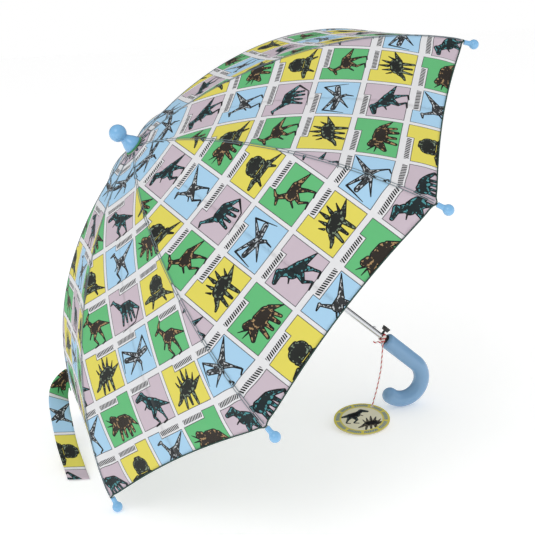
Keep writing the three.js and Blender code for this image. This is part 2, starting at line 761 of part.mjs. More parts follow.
const knotOnFloor = knotAt(wrapR + 2 * KNOT_R + TWINE_R + FACE_GAP).applyMatrix4(umbrella.matrixWorld);
const tagTilt = rad(TAG_TILT);
const tagTurn = rad(TAG_TURN);
const tagCentre = new THREE.Vector3(
  knotOnFloor.x + TAG_FROM_KNOT[0],
  knotOnFloor.y + TAG_FROM_KNOT[1],
  TAG_R * Math.sin(tagTilt) + TAG_THICK,
);
const tagShape = new THREE.Shape().absarc(0, 0, TAG_R, 0, 2 * Math.PI);
const holeAngle = rad(TAG_HOLE_AZIMUTH);
const holeCentre = [TAG_HOLE_FROM_MIDDLE * Math.cos(holeAngle), TAG_HOLE_FROM_MIDDLE * Math.sin(holeAngle)];
tagShape.holes.push(new THREE.Path().absarc(...holeCentre, TAG_HOLE_R, 0, 2 * Math.PI, true));
const tag = new THREE.Mesh(
  new THREE.ExtrudeGeometry(tagShape, { depth: TAG_THICK, bevelEnabled: false, curveSegments: 16 })
    .translate(0, 0, -TAG_THICK / 2),
  CARD,
);
tag.name = 'tag';
tag.rotation.set(tagTilt, 0, tagTurn, 'ZXY');
tag.position.copy(tagCentre);
model.add(tag);
tag.updateMatrixWorld();
const tagHole = new THREE.Vector3(...holeCentre, 0).applyMatrix4(tag.matrixWorld);

// The twine's points are shares of the way from the knot to the hole, each moved by a small bow.
const twinePoints = TWINE_ROUTE.map(([share, x, y]) => knotOnFloor
  .clone()
  .lerp(tagHole, share)
  .add(new THREE.Vector3(x, y, 0)));
const twine = new THREE.Mesh(
  new THREE.ExtrudeGeometry(roundSection(TWINE_R, 8), {
    steps: 24,
    bevelEnabled: false,
    extrudePath: new THREE.CatmullRomCurve3(twinePoints, false, 'centripetal'),
  }),
  TWINE,
);
twine.name = 'twine';
model.add(twine);

// Stand the origin under the middle of the umbrella.
const bounds = new THREE.Box3().setFromObject(model, true);
model.position.x = -(bounds.min.x + bounds.max.x) / 2;

export default model;
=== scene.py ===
"""A child's stick umbrella, open, lying on two rib tips and the bend of its handle."""

import json
import math

import bmesh
import bpy
import numpy as np
from mathutils import Matrix, Vector

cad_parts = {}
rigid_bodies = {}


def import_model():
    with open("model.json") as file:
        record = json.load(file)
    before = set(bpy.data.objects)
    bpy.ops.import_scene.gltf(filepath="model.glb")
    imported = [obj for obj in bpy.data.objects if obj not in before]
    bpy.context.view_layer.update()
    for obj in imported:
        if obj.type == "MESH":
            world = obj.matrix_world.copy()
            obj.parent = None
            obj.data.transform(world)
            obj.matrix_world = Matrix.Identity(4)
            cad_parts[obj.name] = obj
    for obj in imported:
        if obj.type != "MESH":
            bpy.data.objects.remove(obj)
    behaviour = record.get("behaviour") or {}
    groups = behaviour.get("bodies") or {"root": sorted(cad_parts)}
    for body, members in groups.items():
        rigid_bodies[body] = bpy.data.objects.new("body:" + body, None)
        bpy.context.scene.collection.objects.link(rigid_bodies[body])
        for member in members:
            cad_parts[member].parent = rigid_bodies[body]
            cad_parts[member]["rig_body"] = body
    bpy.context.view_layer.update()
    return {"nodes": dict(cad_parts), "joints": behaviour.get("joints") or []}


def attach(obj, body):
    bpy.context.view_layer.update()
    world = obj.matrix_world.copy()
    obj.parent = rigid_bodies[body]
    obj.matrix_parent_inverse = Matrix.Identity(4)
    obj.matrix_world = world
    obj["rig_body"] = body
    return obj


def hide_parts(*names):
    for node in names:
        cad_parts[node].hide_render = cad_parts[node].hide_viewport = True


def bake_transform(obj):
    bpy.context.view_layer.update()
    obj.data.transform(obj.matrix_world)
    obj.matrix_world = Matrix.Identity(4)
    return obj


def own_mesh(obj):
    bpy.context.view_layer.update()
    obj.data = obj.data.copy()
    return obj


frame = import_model()


# Camera. It looks down a little at the umbrella's outside, a metre and a half away, and is
# rolled slightly, so that its right and upward directions are stated.
camera_data = bpy.data.cameras.new("camera")
camera_data.sensor_width = 36
camera_data.lens = 68.83
camera_data.shift_x = -0.0837
camera_data.shift_y = -0.0890
camera = bpy.data.objects.new("camera", camera_data)
right = Vector((0.9426, -0.3318, -0.0363)).normalized()
upward = Vector((0.1085, 0.2016, 0.9734))
backward = right.cross(upward).normalized()
camera.matrix_world = Matrix((right, backward.cross(right), backward)).transposed().to_4x4()
camera.location = (-0.3417, -1.2741, 0.6045)
bpy.context.scene.collection.objects.link(camera)
bpy.context.scene.camera = camera


# Twine: two-colour cotton baker's twine, tied round the shaft above the handle. Its free end
# hangs down to the paper tag, which lies on the floor with its far edge held up.
TWINE_R = 0.0011
TWINE_TURNS = 130.0  # turns of the strands in a metre
TWINE_ROUTE = [
    (0.19032, -0.00901, 0.10541),
    (0.18745, -0.01180, 0.08680),
    (0.18377, -0.01334, 0.06353),
    (0.17768, -0.01294, 0.03837),
    (0.17282, -0.01228, 0.02161),
    (0.16999, -0.01197, 0.01230),
]


def new_object(name, vertices, faces, uvs=None, smooth=True):
    """A mesh object at the origin; uvs has one pair for each vertex."""
    mesh = bpy.data.meshes.new(name)
    mesh.from_pydata([tuple(v) for v in vertices], [], faces)
    if uvs is not None:
        layer = mesh.uv_layers.new(name="cloth")
        corners = np.empty(len(mesh.loops), np.int32)
        mesh.loops.foreach_get("vertex_index", corners)
        layer.data.foreach_set("uv", np.asarray(uvs, np.float32)[corners].ravel())
    mesh.polygons.foreach_set("use_smooth", [smooth] * len(mesh.polygons))
    mesh.update()
    obj = bpy.data.objects.new(name, mesh)
    bpy.context.scene.collection.objects.link(obj)
    return obj


def smooth_route(points, count):
    """Points evenly spaced along one smooth curve through the given ones."""
    points = [Vector(p) for p in points]
    ends = [2 * points[0] - points[1], *points, 2 * points[-1] - points[-2]]
    fine = []
    for a, b, c, d in zip(ends, ends[1:], ends[2:], ends[3:]):
        for step in range(20):
            t = step / 20
            fine.append(0.5 * (2 * b + (c - a) * t + (2 * a - 5 * b + 4 * c - d) * t**2
                               + (3 * b - a - 3 * c + d) * t**3))
    fine.append(points[-1])
    reach = np.concatenate([[0], np.cumsum([(q - p).length for p, q in zip(fine, fine[1:])])])
    places = np.linspace(0, reach[-1], count)
    return [Vector([np.interp(s, reach, [p[i] for p in fine]) for i in range(3)]) for s in places]


def twisted_tube(name, route, radius, turns_per_metre, sides=12, lobes=3):
    """A cord of twisted strands along a route, with closed ends. Its UV is share round, metres along."""
    vertices, faces, uvs = [], [], []
    forward = (route[1] - route[0]).normalized()
    across = forward.orthogonal().normalized()
    length = 0
    for i, point in enumerate(route):
        if i:
            length += (point - route[i - 1]).length
        step = (route[min(i + 1, len(route) - 1)] - route[max(i - 1, 0)]).normalized()
        across = (across - step * across.dot(step)).normalized()
        other = step.cross(across)
        for side in range(sides):
            angle = 2 * math.pi * side / sides
            lobe = math.cos(lobes * (angle - 2 * math.pi * turns_per_metre * length))
            out = radius * (0.93 + 0.07 * lobe)
            vertices.append(point + across * out * math.cos(angle) + other * out * math.sin(angle))
            uvs.append((side / sides, length))
    for i in range(len(route) - 1):
        for side in range(sides):
            a, b = i * sides + side, i * sides + (side + 1) % sides
            faces.append((a, b, b + sides, a + sides))
    faces.append(tuple(reversed(range(sides))))
    faces.append(tuple(range((len(route) - 1) * sides, len(route) * sides)))
    return new_object(name, vertices, faces, uvs)


def number(tree, operation, *values):
    """A Math node's output; each value is a socket or a number."""
    node = tree.nodes.new("ShaderNodeMath")
    node.operation = operation
    for socket, value in zip(node.inputs, values):
        if isinstance(value, (int, float)):
            socket.default_value = value
        else:
            tree.links.new(value, socket)
    return node.outputs[0]


def mixed(tree, share, first, second, blend="MIX"):
    """A colour mixed from two; each is a socket or (r, g, b)."""
    node = tree.nodes.new("ShaderNodeMix")
    node.data_type = "RGBA"
    node.blend_type = blend
    for socket, value in ((node.inputs[0], share), (node.inputs[6], first), (node.inputs[7], second)):
        if isinstance(value, (int, float)):
            socket.default_value = value
        elif isinstance(value, tuple):
            socket.default_value = (*value, 1)
        else:
            tree.links.new(value, socket)
    return node.outputs[2]


def srgb(text):
    """Linear colour from six hexadecimal digits."""
    channels = [int(text[i:i + 2], 16) / 255 for i in (0, 2, 4)]
    return tuple(c / 12.92 if c <= 0.04045 else ((c + 0.055) / 1.055) ** 2.4 for c in channels)


def new_material(name, **settings):
    """A node material: its tree, its Principled shader and itself, with constants on the shader."""
    material = bpy.data.materials.new(name)
    material.use_nodes = True
    shader = material.node_tree.nodes["Principled BSDF"]
    for socket, value in settings.items():
        shader.inputs[socket.replace("_", " ")].default_value = value
    return material.node_tree, shader, material


def noise(tree, scale, detail=2, coordinates="Object"):
    """A noise value over the piece, in its own coordinates or its cloth UV."""
    texture = tree.nodes.new("ShaderNodeTexNoise")
    texture.inputs["Scale"].default_value = scale
    texture.inputs["Detail"].default_value = detail
    place = tree.nodes.new("ShaderNodeTexCoord")
    tree.links.new(place.outputs[coordinates], texture.inputs["Vector"])
    return texture.outputs["Fac"]


def bumped(tree, shader, height, distance, strength=1.0):
    """Feeds a height to the shader's normal."""
    bump = tree.nodes.new("ShaderNodeBump")
    bump.inputs["Distance"].default_value = distance
    bump.inputs["Strength"].default_value = strength
    tree.links.new(height, bump.inputs["Height"])
    tree.links.new(bump.outputs[0], shader.inputs["Normal"])


twine_tree, twine_shader, TWINE = new_material("twine", Roughness=0.9, Sheen_Weight=0.3)
twine_uv = twine_tree.nodes.new("ShaderNodeUVMap")
twine_uv.uv_map = "cloth"
twine_split = twine_tree.nodes.new("ShaderNodeSeparateXYZ")
twine_tree.links.new(twine_uv.outputs[0], twine_split.inputs[0])
twist = number(twine_tree, "SUBTRACT", twine_split.outputs[0],
               number(twine_tree, "MULTIPLY", twine_split.outputs[1], TWINE_TURNS))
strand = number(twine_tree, "FRACT", twist)
red_strand = number(twine_tree, "LESS_THAN", strand, 0.5)
twine_colour = mixed(twine_tree, red_strand, srgb("f1ece6"), srgb("c4222f"))
twine_tree.links.new(twine_colour, twine_shader.inputs["Base Color"])
bumped(twine_tree, twine_shader, noise(twine_tree, 6000), 0.0002, 0.5)

twine_route = smooth_route(TWINE_ROUTE, 90)
twine = twisted_tube("free_twine", twine_route, TWINE_R, TWINE_TURNS)
twine.data.materials.append(TWINE)
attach(twine, "frame")
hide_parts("twine")


# Canopy print: each gore is cut from polyester taffeta printed with the same grid of cards. A
# card has a tab for a name, kept to plain strokes here, and one dinosaur drawn in a few limbs.
CARD_PITCH = (0.0630, 0.0600)
CARD_SIZE = (57.9, 52.7)  # card in millimetres, as the limbs below are
TAB_HEIGHT = 8.5
TAB_SHORT = 21.0
TAB_STROKES = 16.5  # half the length of the row of strokes
STROKE_PITCH, STROKE_SHARE, STROKE_LEAN, STROKE_TALL = 2.7, 0.62, -0.3, 2.8
CARD_LINE = 0.4
OUTLINE = 1.0
DARK_HIDE = 0.43  # how much of a hide is shaded
FIGURE_SIZE = 1.34  # the drawings are made this much larger than their numbers
CARD_INKS = ["abd4f0", "cdbdc8", "abd4f0", "cdbdc8", "e6da5c", "63bf7b", "e6da5c", "63bf7b"]
HIDE_INKS = ["c9cfd2", "4f9aa0", "c3ccd3", "4f9aa0", "7f9078", "b08f62", "7f9078", "b08f62"]
TAB_ON_LEFT = [0, 1, 1, 0, 1, 1, 0, 0]
# A limb is a tapered stroke: where it starts and how thick it is there, then where it ends.
OSTRICH_LIKE = [
    (-2, 2, 4.6, 5, 4, 3.2), (-4, 4, 2.2, -9, 13, 1.2), (-9, 14, 1.7, -14, 13, 0.8),
    (5, 4, 3, 20, 15, 0.5), (-1, 0, 3.2, -6, -7, 1.3), (-6, -7, 1.2, -2, -14, 0.8),
    (-2, -15, 0.9, -7, -16, 0.6), (3, 1, 3.2, 7, -6, 1.3), (7, -6, 1.2, 10, -13, 0.8),
    (10, -14, 0.9, 6, -16, 0.6), (-4, 1, 1.1, -9, -3, 0.6),
]
TYRANT_LIKE = [
    (-2, 3, 6, 5, 1, 4.8), (-5, 7, 3.8, -9, 11, 3.2), (-9, 12, 3.6, -17, 10, 2.2),
    (6, 1, 4, 21, -4, 0.6), (1, -2, 4.4, -3, -9, 1.8), (-3, -9, 1.6, 1, -15, 1.1),
    (1, -16, 1.1, -5, -17, 0.8), (5, -1, 4, 9, -9, 1.7), (9, -9, 1.5, 11, -15, 1.1),
    (11, -16, 1, 6, -17, 0.8), (-6, 3, 1.1, -11, 0, 0.6),
]
WINGED = [
    (0, 0, 2.4, 4, -6, 1.6), (0, 2, 2.4, -17, 11, 0.9), (-17, 11, 0.9, -20, -8, 0.3),
    (-3, 0, 2.8, -15, 2, 2.4), (2, 1, 2.4, 14, 15, 0.8), (14, 15, 0.9, 19, -6, 0.3),
    (4, 1, 2.8, 14, 3, 2.6), (-2, -2, 1.8, -13, -11, 0.5), (-1, -1, 1.3, 6, 7, 0.4),
    (4, -6, 1, 3, -13, 0.6),
]
LONG_NECKED = [
    (-3, 2, 5.6, 5, 2, 5.2), (-8, 5, 2.8, -16, 13, 1.3), (-16, 13.5, 1.6, -20, 12, 0.9),
    (8, 2, 3.2, 18, -5, 1.2), (18, -5, 1.2, 10, -15, 0.6), (10, -15, 0.6, -10, -18, 0.3),
    (-5, -3, 2.2, -7, -12, 1.4), (-1, -3, 2, -1, -11, 1.3), (4, -3, 2.2, 5, -12, 1.4),
    (8, -2, 2, 10, -11, 1.3),
]
SAIL_BACKED = [
    (-8, -6, 3, 8, -6, 3.3), (-11, -5, 2.8, -18, -6, 1.6), (9, -7, 2.4, 21, -12, 0.5),
    (-7, -8, 1.8, -10, -14, 1), (7, -8, 1.8, 10, -14, 1), (-8, 0, 1.5, -6, -4, 2),
    (-3, 4, 6.5, 3, 4, 6.5), (-2, 10, 2.4, 3, 10, 2.2), (8, 0, 1.6, 6, -4, 2),
]
THREE_HORNED = [
    (0, 0, 6.8, 7, 0, 6), (-9, -1, 4.4, -15, -6, 2), (-7, 4, 4.4, -10, 6, 3.4),
    (-11, 3, 1.1, -18, 8, 0.3), (-10, 1, 1.1, -19, 2, 0.3), (-4, -6, 2.4, -6, -14, 1.7),
    (1, -6, 2.2, 1, -13, 1.6), (7, -5, 2.6, 8, -14, 1.7), (11, -4, 2.2, 13, -12, 1.5),
    (12, 0, 3.2, 21, -8, 0.5),
]
PLATE_BACKED = [
    (-3, -1, 5.8, 5, 1, 6.2), (-8, -4, 2.8, -12, -8, 1.8), (-12, -8, 1.9, -16, -10, 1.1),
    (9, -1, 3.4, 21, 4, 0.5), (-8, 4, 1.2, -10, 8, 0.5), (-4, 6, 1.7, -5, 12, 0.6),
    (1, 8, 2, 1, 16, 0.7), (6, 8, 1.8, 8, 14, 0.6), (11, 4, 1.4, 14, 9, 0.5),
    (-5, -6, 2, -7, -15, 1.3), (0, -6, 2, 0, -14, 1.3), (6, -5, 2.4, 7, -15, 1.5),
]
CREST_HEADED = [
    (-2, 1, 5.4, 6, 2, 4.6), (-5, 5, 2.8, -9, 10, 2), (-9, 11, 2.2, -15, 8, 1.2),
    (-9, 13, 1.8, -6, 17, 1), (8, 2, 3.4, 21, -2, 0.6), (0, -3, 3, -3, -9, 1.6),
    (-3, -9, 1.5, 1, -15, 1), (1, -16, 1, -4, -17, 0.7), (5, -2, 2.8, 9, -9, 1.5),
    (9, -9, 1.4, 11, -15, 1), (11, -16, 0.9, 7, -17, 0.7), (-5, -1, 1.3, -9, -7, 0.8),
]
DINOSAURS = [OSTRICH_LIKE, TYRANT_LIKE, WINGED, LONG_NECKED,
             SAIL_BACKED, THREE_HORNED, PLATE_BACKED, CREST_HEADED]


def group_tree(name, inputs, outputs):
    """A shader node group with its sockets; gives the tree and its two end nodes."""
    tree = bpy.data.node_groups.new(name, "ShaderNodeTree")
    for label, kind in inputs:
        tree.interface.new_socket(label, in_out="INPUT", socket_type=kind)
    for label, kind in outputs:
        tree.interface.new_socket(label, in_out="OUTPUT", socket_type=kind)
    return tree, tree.nodes.new("NodeGroupInput"), tree.nodes.new("NodeGroupOutput")


def placed_group(tree, group, **inputs):
    """One use of a group, with its inputs set or linked."""
    node = tree.nodes.new("ShaderNodeGroup")
    node.node_tree = group
    for label, value in inputs.items():
        if isinstance(value, bpy.types.NodeSocket):
            tree.links.new(value, node.inputs[label])
        else:
            node.inputs[label].default_value = value
    return node


def vector_op(tree, operation, *values):
    """A Vector Math node; each value is a socket or three numbers, or one number for a scale."""
    node = tree.nodes.new("ShaderNodeVectorMath")
    node.operation = operation
    sockets = [node.inputs[0], node.inputs[3]] if operation == "SCALE" else node.inputs
    for socket, value in zip(sockets, values):
        if isinstance(value, bpy.types.NodeSocket):
            tree.links.new(value, socket)
        else:
            socket.default_value = value
    return node.outputs["Value"] if operation in ("DOT_PRODUCT", "LENGTH") else node.outputs[0]


# The distance from a point to one limb, as a group: the drawing places it once for each limb.
limb_group, limb_in, limb_out = group_tree(
    "limb",
    [("Point", "NodeSocketVector"), ("Start", "NodeSocketVector"), ("Along", "NodeSocketVector"),
     ("Share", "NodeSocketVector"), ("Thick", "NodeSocketFloat"), ("Taper", "NodeSocketFloat")],
    [("Distance", "NodeSocketFloat")],
)
limb_from = vector_op(limb_group, "SUBTRACT", limb_in.outputs["Point"], limb_in.outputs["Start"])
limb_share = number(limb_group, "MAXIMUM", number(
    limb_group, "MINIMUM",
    vector_op(limb_group, "DOT_PRODUCT", limb_from, limb_in.outputs["Share"]), 1.0), 0.0)
limb_nearest = vector_op(limb_group, "SCALE", limb_in.outputs["Along"], limb_share)
limb_far = vector_op(limb_group, "LENGTH", vector_op(limb_group, "SUBTRACT", limb_from, limb_nearest))
limb_thick = number(limb_group, "MULTIPLY_ADD", limb_share, limb_in.outputs["Taper"],
                    limb_in.outputs["Thick"])
limb_group.links.new(number(limb_group, "SUBTRACT", limb_far, limb_thick), limb_out.inputs[0])


def drawn(tree, point, limbs):
    """The distance from a point to the nearest of a drawing's limbs, in millimetres."""
    nearest = None
    for x0, y0, thick0, x1, y1, thick1 in limbs:
        dx, dy = x1 - x0, y1 - y0
        square = dx * dx + dy * dy
        limb = placed_group(tree, limb_group, Point=point, Start=(x0, y0, 0), Along=(dx, dy, 0),
                            Share=(dx / square, dy / square, 0), Thick=thick0, Taper=thick1 - thick0)
        nearest = limb.outputs[0] if nearest is None else number(
            tree, "MINIMUM", nearest, limb.outputs[0])
    return nearest


def stepped(tree, share, colours):
    """One of several colours by a 0 to 1 share, with no blending between them."""
    ramp = tree.nodes.new("ShaderNodeValToRGB")
    ramp.color_ramp.interpolation = "CONSTANT"
    for i, colour in enumerate(colours):
        stops = ramp.color_ramp.elements
        stop = stops[i] if i < 2 else stops.new(i / len(colours))
        stop.position = i / len(colours)
        stop.color = (*colour, 1)
    tree.links.new(share, ramp.inputs[0])
    return ramp.outputs[0]


# The whole print as one group: it takes the cloth's own coordinates in metres and gives a colour.
print_group, print_in, print_out = group_tree(
    "card print", [("Cloth", "NodeSocketVector")], [("Colour", "NodeSocketColor")])
cloth_axes = print_group.nodes.new("ShaderNodeSeparateXYZ")
print_group.links.new(print_in.outputs[0], cloth_axes.inputs[0])
columns = number(print_group, "ADD",
                 number(print_group, "DIVIDE", cloth_axes.outputs[0], CARD_PITCH[0]), 0.5)
rows = number(print_group, "DIVIDE", cloth_axes.outputs[1], CARD_PITCH[1])
column, row = number(print_group, "FLOOR", columns), number(print_group, "FLOOR", rows)
card_x = number(print_group, "MULTIPLY", number(
    print_group, "SUBTRACT", number(print_group, "SUBTRACT", columns, column), 0.5),
    1000 * CARD_PITCH[0])
card_y = number(print_group, "MULTIPLY", number(
    print_group, "SUBTRACT", number(print_group, "SUBTRACT", rows, row), 0.5),
    1000 * CARD_PITCH[1])
odd = number(print_group, "FLOORED_MODULO", column, 2.0)
pair = number(print_group, "FLOOR", number(print_group, "DIVIDE", column, 2.0))
turn = number(print_group, "FLOORED_MODULO", number(
    print_group, "ADD", number(print_group, "ADD", row, pair), odd), 4.0)
kind = number(print_group, "MULTIPLY_ADD", odd, 4.0, turn)
kind_share = number(print_group, "DIVIDE", number(print_group, "ADD", kind, 0.5), 8.0)

card_point = print_group.nodes.new("ShaderNodeCombineXYZ")
print_group.links.new(number(print_group, "DIVIDE", card_x, FIGURE_SIZE), card_point.inputs[0])
print_group.links.new(number(print_group, "DIVIDE", number(
    print_group, "ADD", card_y, 4.0), FIGURE_SIZE), card_point.inputs[1])
figure = None
for index, limbs in enumerate(DINOSAURS):
    other = number(print_group, "MULTIPLY", number(
        print_group, "GREATER_THAN", number(print_group, "ABSOLUTE", number(
            print_group, "SUBTRACT", kind, float(index))), 0.5), 200.0)
    here = number(print_group, "ADD", drawn(print_group, card_point.outputs[0], limbs), other)
    figure = here if figure is None else number(print_group, "MINIMUM", figure, here)

tab_side = number(print_group, "MULTIPLY_ADD", stepped(
    print_group, kind_share, [(float(left),) * 3 for left in TAB_ON_LEFT]), 2.0, -1.0)
tab_x = number(print_group, "MULTIPLY", card_x, tab_side)
card_edge = number(
    print_group, "MAXIMUM",
    number(print_group, "SUBTRACT", number(print_group, "ABSOLUTE", card_x), CARD_SIZE[0] / 2),
    number(print_group, "SUBTRACT", number(print_group, "ABSOLUTE", card_y), CARD_SIZE[1] / 2))
tab_edge = number(
    print_group, "MAXIMUM",
    number(print_group, "SUBTRACT", tab_x, CARD_SIZE[0] / 2 - TAB_SHORT),
    number(print_group, "SUBTRACT", CARD_SIZE[1] / 2 - TAB_HEIGHT, card_y))
inked = number(print_group, "MAXIMUM", card_edge, number(print_group, "MULTIPLY", tab_edge, -1.0))
on_card = number(print_group, "LESS_THAN", inked, 0.0)
frame_line = number(print_group, "LESS_THAN", number(print_group, "ABSOLUTE", inked),
                    CARD_LINE)

stroke_x = number(print_group, "MULTIPLY_ADD", card_y, STROKE_LEAN, tab_x)
stroke = number(print_group, "LESS_THAN", number(
    print_group, "FRACT", number(print_group, "DIVIDE", stroke_x, STROKE_PITCH)), STROKE_SHARE)
stroke_band = number(print_group, "LESS_THAN", number(print_group, "ABSOLUTE", number(
    print_group, "SUBTRACT", card_y, CARD_SIZE[1] / 2 - 0.4 * TAB_HEIGHT)), STROKE_TALL)
stroke_length = number(print_group, "LESS_THAN", number(
    print_group, "ABSOLUTE", number(print_group, "ADD", tab_x, TAB_SHORT / 2)), TAB_STROKES)
name_strokes = number(print_group, "MULTIPLY", number(
    print_group, "MULTIPLY", stroke, stroke_band), stroke_length)

cloth_noise = print_group.nodes.new("ShaderNodeTexNoise")
cloth_noise.inputs["Scale"].default_value = 260
cloth_noise.inputs["Detail"].default_value = 3
print_group.links.new(print_in.outputs[0], cloth_noise.inputs["Vector"])
shading = number(print_group, "MULTIPLY_ADD", figure, 0.07, cloth_noise.outputs["Fac"])
dark_patch = number(print_group, "MULTIPLY", number(
    print_group, "LESS_THAN", shading, DARK_HIDE), 0.95)
in_figure = number(print_group, "LESS_THAN", figure, 0.0)
in_outline = number(print_group, "LESS_THAN", number(print_group, "ABSOLUTE", number(
    print_group, "ADD", figure, OUTLINE / 2)), OUTLINE / 2)

GUTTER, INK = srgb("e8e8ea"), srgb("0b0a0d")
card_colour = mixed(print_group, on_card, GUTTER,
                    stepped(print_group, kind_share, [srgb(ink) for ink in CARD_INKS]))
card_colour = mixed(print_group, name_strokes, card_colour, INK)
card_colour = mixed(print_group, frame_line, card_colour, srgb("4a4a4e"))
hide = mixed(print_group, dark_patch,
             stepped(print_group, kind_share, [srgb(ink) for ink in HIDE_INKS]), INK)
card_colour = mixed(print_group, in_figure, card_colour, hide)
card_colour = mixed(print_group, in_outline, card_colour, INK)
print_group.links.new(card_colour, print_out.inputs[0])


# The cloth's surface as a group: its crossed threads, and the slight waviness of a thin cloth.
weave_group, weave_in, weave_out = group_tree(
    "taffeta weave",
    [("Cloth", "NodeSocketVector"), ("Threads", "NodeSocketFloat"), ("Waviness", "NodeSocketFloat")],
    [("Height", "NodeSocketFloat")],
)
thread_waves = []
for direction in "XY":
    thread_wave = weave_group.nodes.new("ShaderNodeTexWave")
    thread_wave.bands_direction = direction
    thread_wave.inputs["Distortion"].default_value = 0.4
    weave_group.links.new(weave_in.outputs["Threads"], thread_wave.inputs["Scale"])
    weave_group.links.new(weave_in.outputs["Cloth"], thread_wave.inputs["Vector"])
    thread_waves.append(thread_wave.outputs["Fac"])
waviness = weave_group.nodes.new("ShaderNodeTexNoise")
waviness.inputs["Scale"].default_value = 22
waviness.inputs["Detail"].default_value = 3
weave_group.links.new(weave_in.outputs["Cloth"], waviness.inputs["Vector"])
weave_group.links.new(
    number(weave_group, "MULTIPLY_ADD", waviness.outputs["Fac"], weave_in.outputs["Waviness"],
           number(weave_group, "MULTIPLY", *thread_waves)), weave_out.inputs[0])


def printed_cloth(name, fade):
    """Printed taffeta with faint grey blotches of painted wrinkle shade; the fade mixes in white, as the
    inside of a printed cloth is paler.
    """
    tree, shader, material = new_material(name, Roughness=0.62, Sheen_Weight=0.06,
                                          Sheen_Roughness=0.4, Specular_IOR_Level=0.2)
    cloth = tree.nodes.new("ShaderNodeUVMap")
    cloth.uv_map = "cloth"
    print_node = placed_group(tree, print_group, Cloth=cloth.outputs[0])
    # Painted shade: soft grey blotches mixed into the print stand in for the shade of shallow wrinkles.
    wrinkle_shade = number(tree, "MULTIPLY", noise(tree, 38, 4, "UV"), 0.05)
    colour = mixed(tree, wrinkle_shade, print_node.outputs[0], srgb("aeb2ba"))
    tree.links.new(mixed(tree, fade, colour, srgb("eceef0")), shader.inputs["Base Color"])
    weave = placed_group(tree, weave_group, Cloth=cloth.outputs[0], Threads=420.0, Waviness=9.0)
    bumped(tree, shader, weave.outputs[0], 0.0003, 0.6)
    return material


CLOTH_OUTSIDE = printed_cloth("canopy cloth outside", 0.0)
CLOTH_INSIDE = printed_cloth("canopy cloth inside", 0.42)


# Canopy: eight gores of that cloth, sewn edge to edge over the ribs. The cloth is stretched straight
# across from rib to rib, sags a little between them, and its hem curves in between the tips. Each
# gore is made as two halves that meet at its middle, where it creases as the umbrella closes.
PIVOT_R, PIVOT_Z = 0.009, 0.2155  # the ribs' pivots: distance from the shaft, height over the tips
TIP_CIRCLE_R = 0.380
DOME_SLOPES = (math.radians(3.4), math.radians(61.4))
CLOTH_ABOVE_RIB = 0.0028
CLOTH_THICK = 0.0004
CLOTH_CORNER = 0.014
CLOTH_INNER_R = 0.0145
HEM_RISE = 0.0045
SAG = 0.0035
PULL, PULL_REACH, PULL_FOLDS = 0.0019, 0.055, 7  # the creases that fan out from each tip
CLOTH_PLAIN = 0.012  # the creases fade out this near the tip
ACROSS_STEPS, DOWN_STEPS = 20, 90
HALF_GORE = math.radians(22.5)
PRINT_START = 0.012  # the print's first row starts this far below the straight line of the hem

joint = {j["name"]: j for j in frame["joints"]}
rib_joints = [joint["canopy_fold"], *(joint[f"rib_{k}_fold"] for k in range(2, 9))]
rib_feet = [Vector(j["pos_m"]) for j in rib_joints]
crown_middle = sum(rib_feet, Vector()) / 8
shaft_up = Vector(rib_joints[0]["axis"]).cross(Vector(rib_joints[2]["axis"])).normalized()
rib_out = [(foot - crown_middle).normalized() for foot in rib_feet]
umbrella_low = (rib_out[0] + rib_out[7]).normalized()
umbrella_side = shaft_up.cross(umbrella_low)


def placed(out, radius, height, sideways=None, offset=0.0):
    """A point at a distance and height along a direction out from the shaft."""
    point = crown_middle + out * radius + shaft_up * (height - PIVOT_Z)
    return point if sideways is None else point + sideways * offset


def rib_line(count):
    """Points and outward directions of a rib's middle line, evenly spaced, as (r, z) pairs."""
    start, end = np.array([PIVOT_R, PIVOT_Z]), np.array([TIP_CIRCLE_R, 0.0])
    reach = np.linalg.norm(end - start) / 3
    handles = [np.array([math.cos(a), -math.sin(a)]) * reach for a in DOME_SLOPES]
    t = np.linspace(0, 1, 2001)[:, None]
    curve = ((1 - t) ** 3 * start + 3 * (1 - t) ** 2 * t * (start + handles[0])
             + 3 * (1 - t) * t**2 * (end - handles[1]) + t**3 * end)
    reached = np.concatenate([[0], np.cumsum(np.linalg.norm(np.diff(curve, axis=0), axis=1))])
    places = np.linspace(0, reached[-1], count)
    line = np.stack([np.interp(places, reached, curve[:, i]) for i in range(2)], 1)
    tangent = np.gradient(line, axis=0)
    tangent /= np.linalg.norm(tangent, axis=1)[:, None]
    return places, line, np.stack([-tangent[:, 1], tangent[:, 0]], 1)


rib_places, rib_points, rib_normals = rib_line(800)
RIB_LENGTH = rib_places[-1]


def beside_rib(place, out):
    """The (r, z) point beside the rib's middle line at a distance along it."""
    return np.array([np.interp(place, rib_places, rib_points[:, i])
                     + out * np.interp(place, rib_places, rib_normals[:, i]) for i in range(2)])


def place_at_radius(radius):
    """The distance along a rib's middle line at which it is this far from the shaft."""
    return float(np.interp(radius, rib_points[:, 0], rib_places))


CLOTH_START = place_at_radius(CLOTH_INNER_R)
CLOTH_END = RIB_LENGTH - CLOTH_CORNER
FAR_R = beside_rib(CLOTH_END, 0)[0] * math.cos(HALF_GORE)


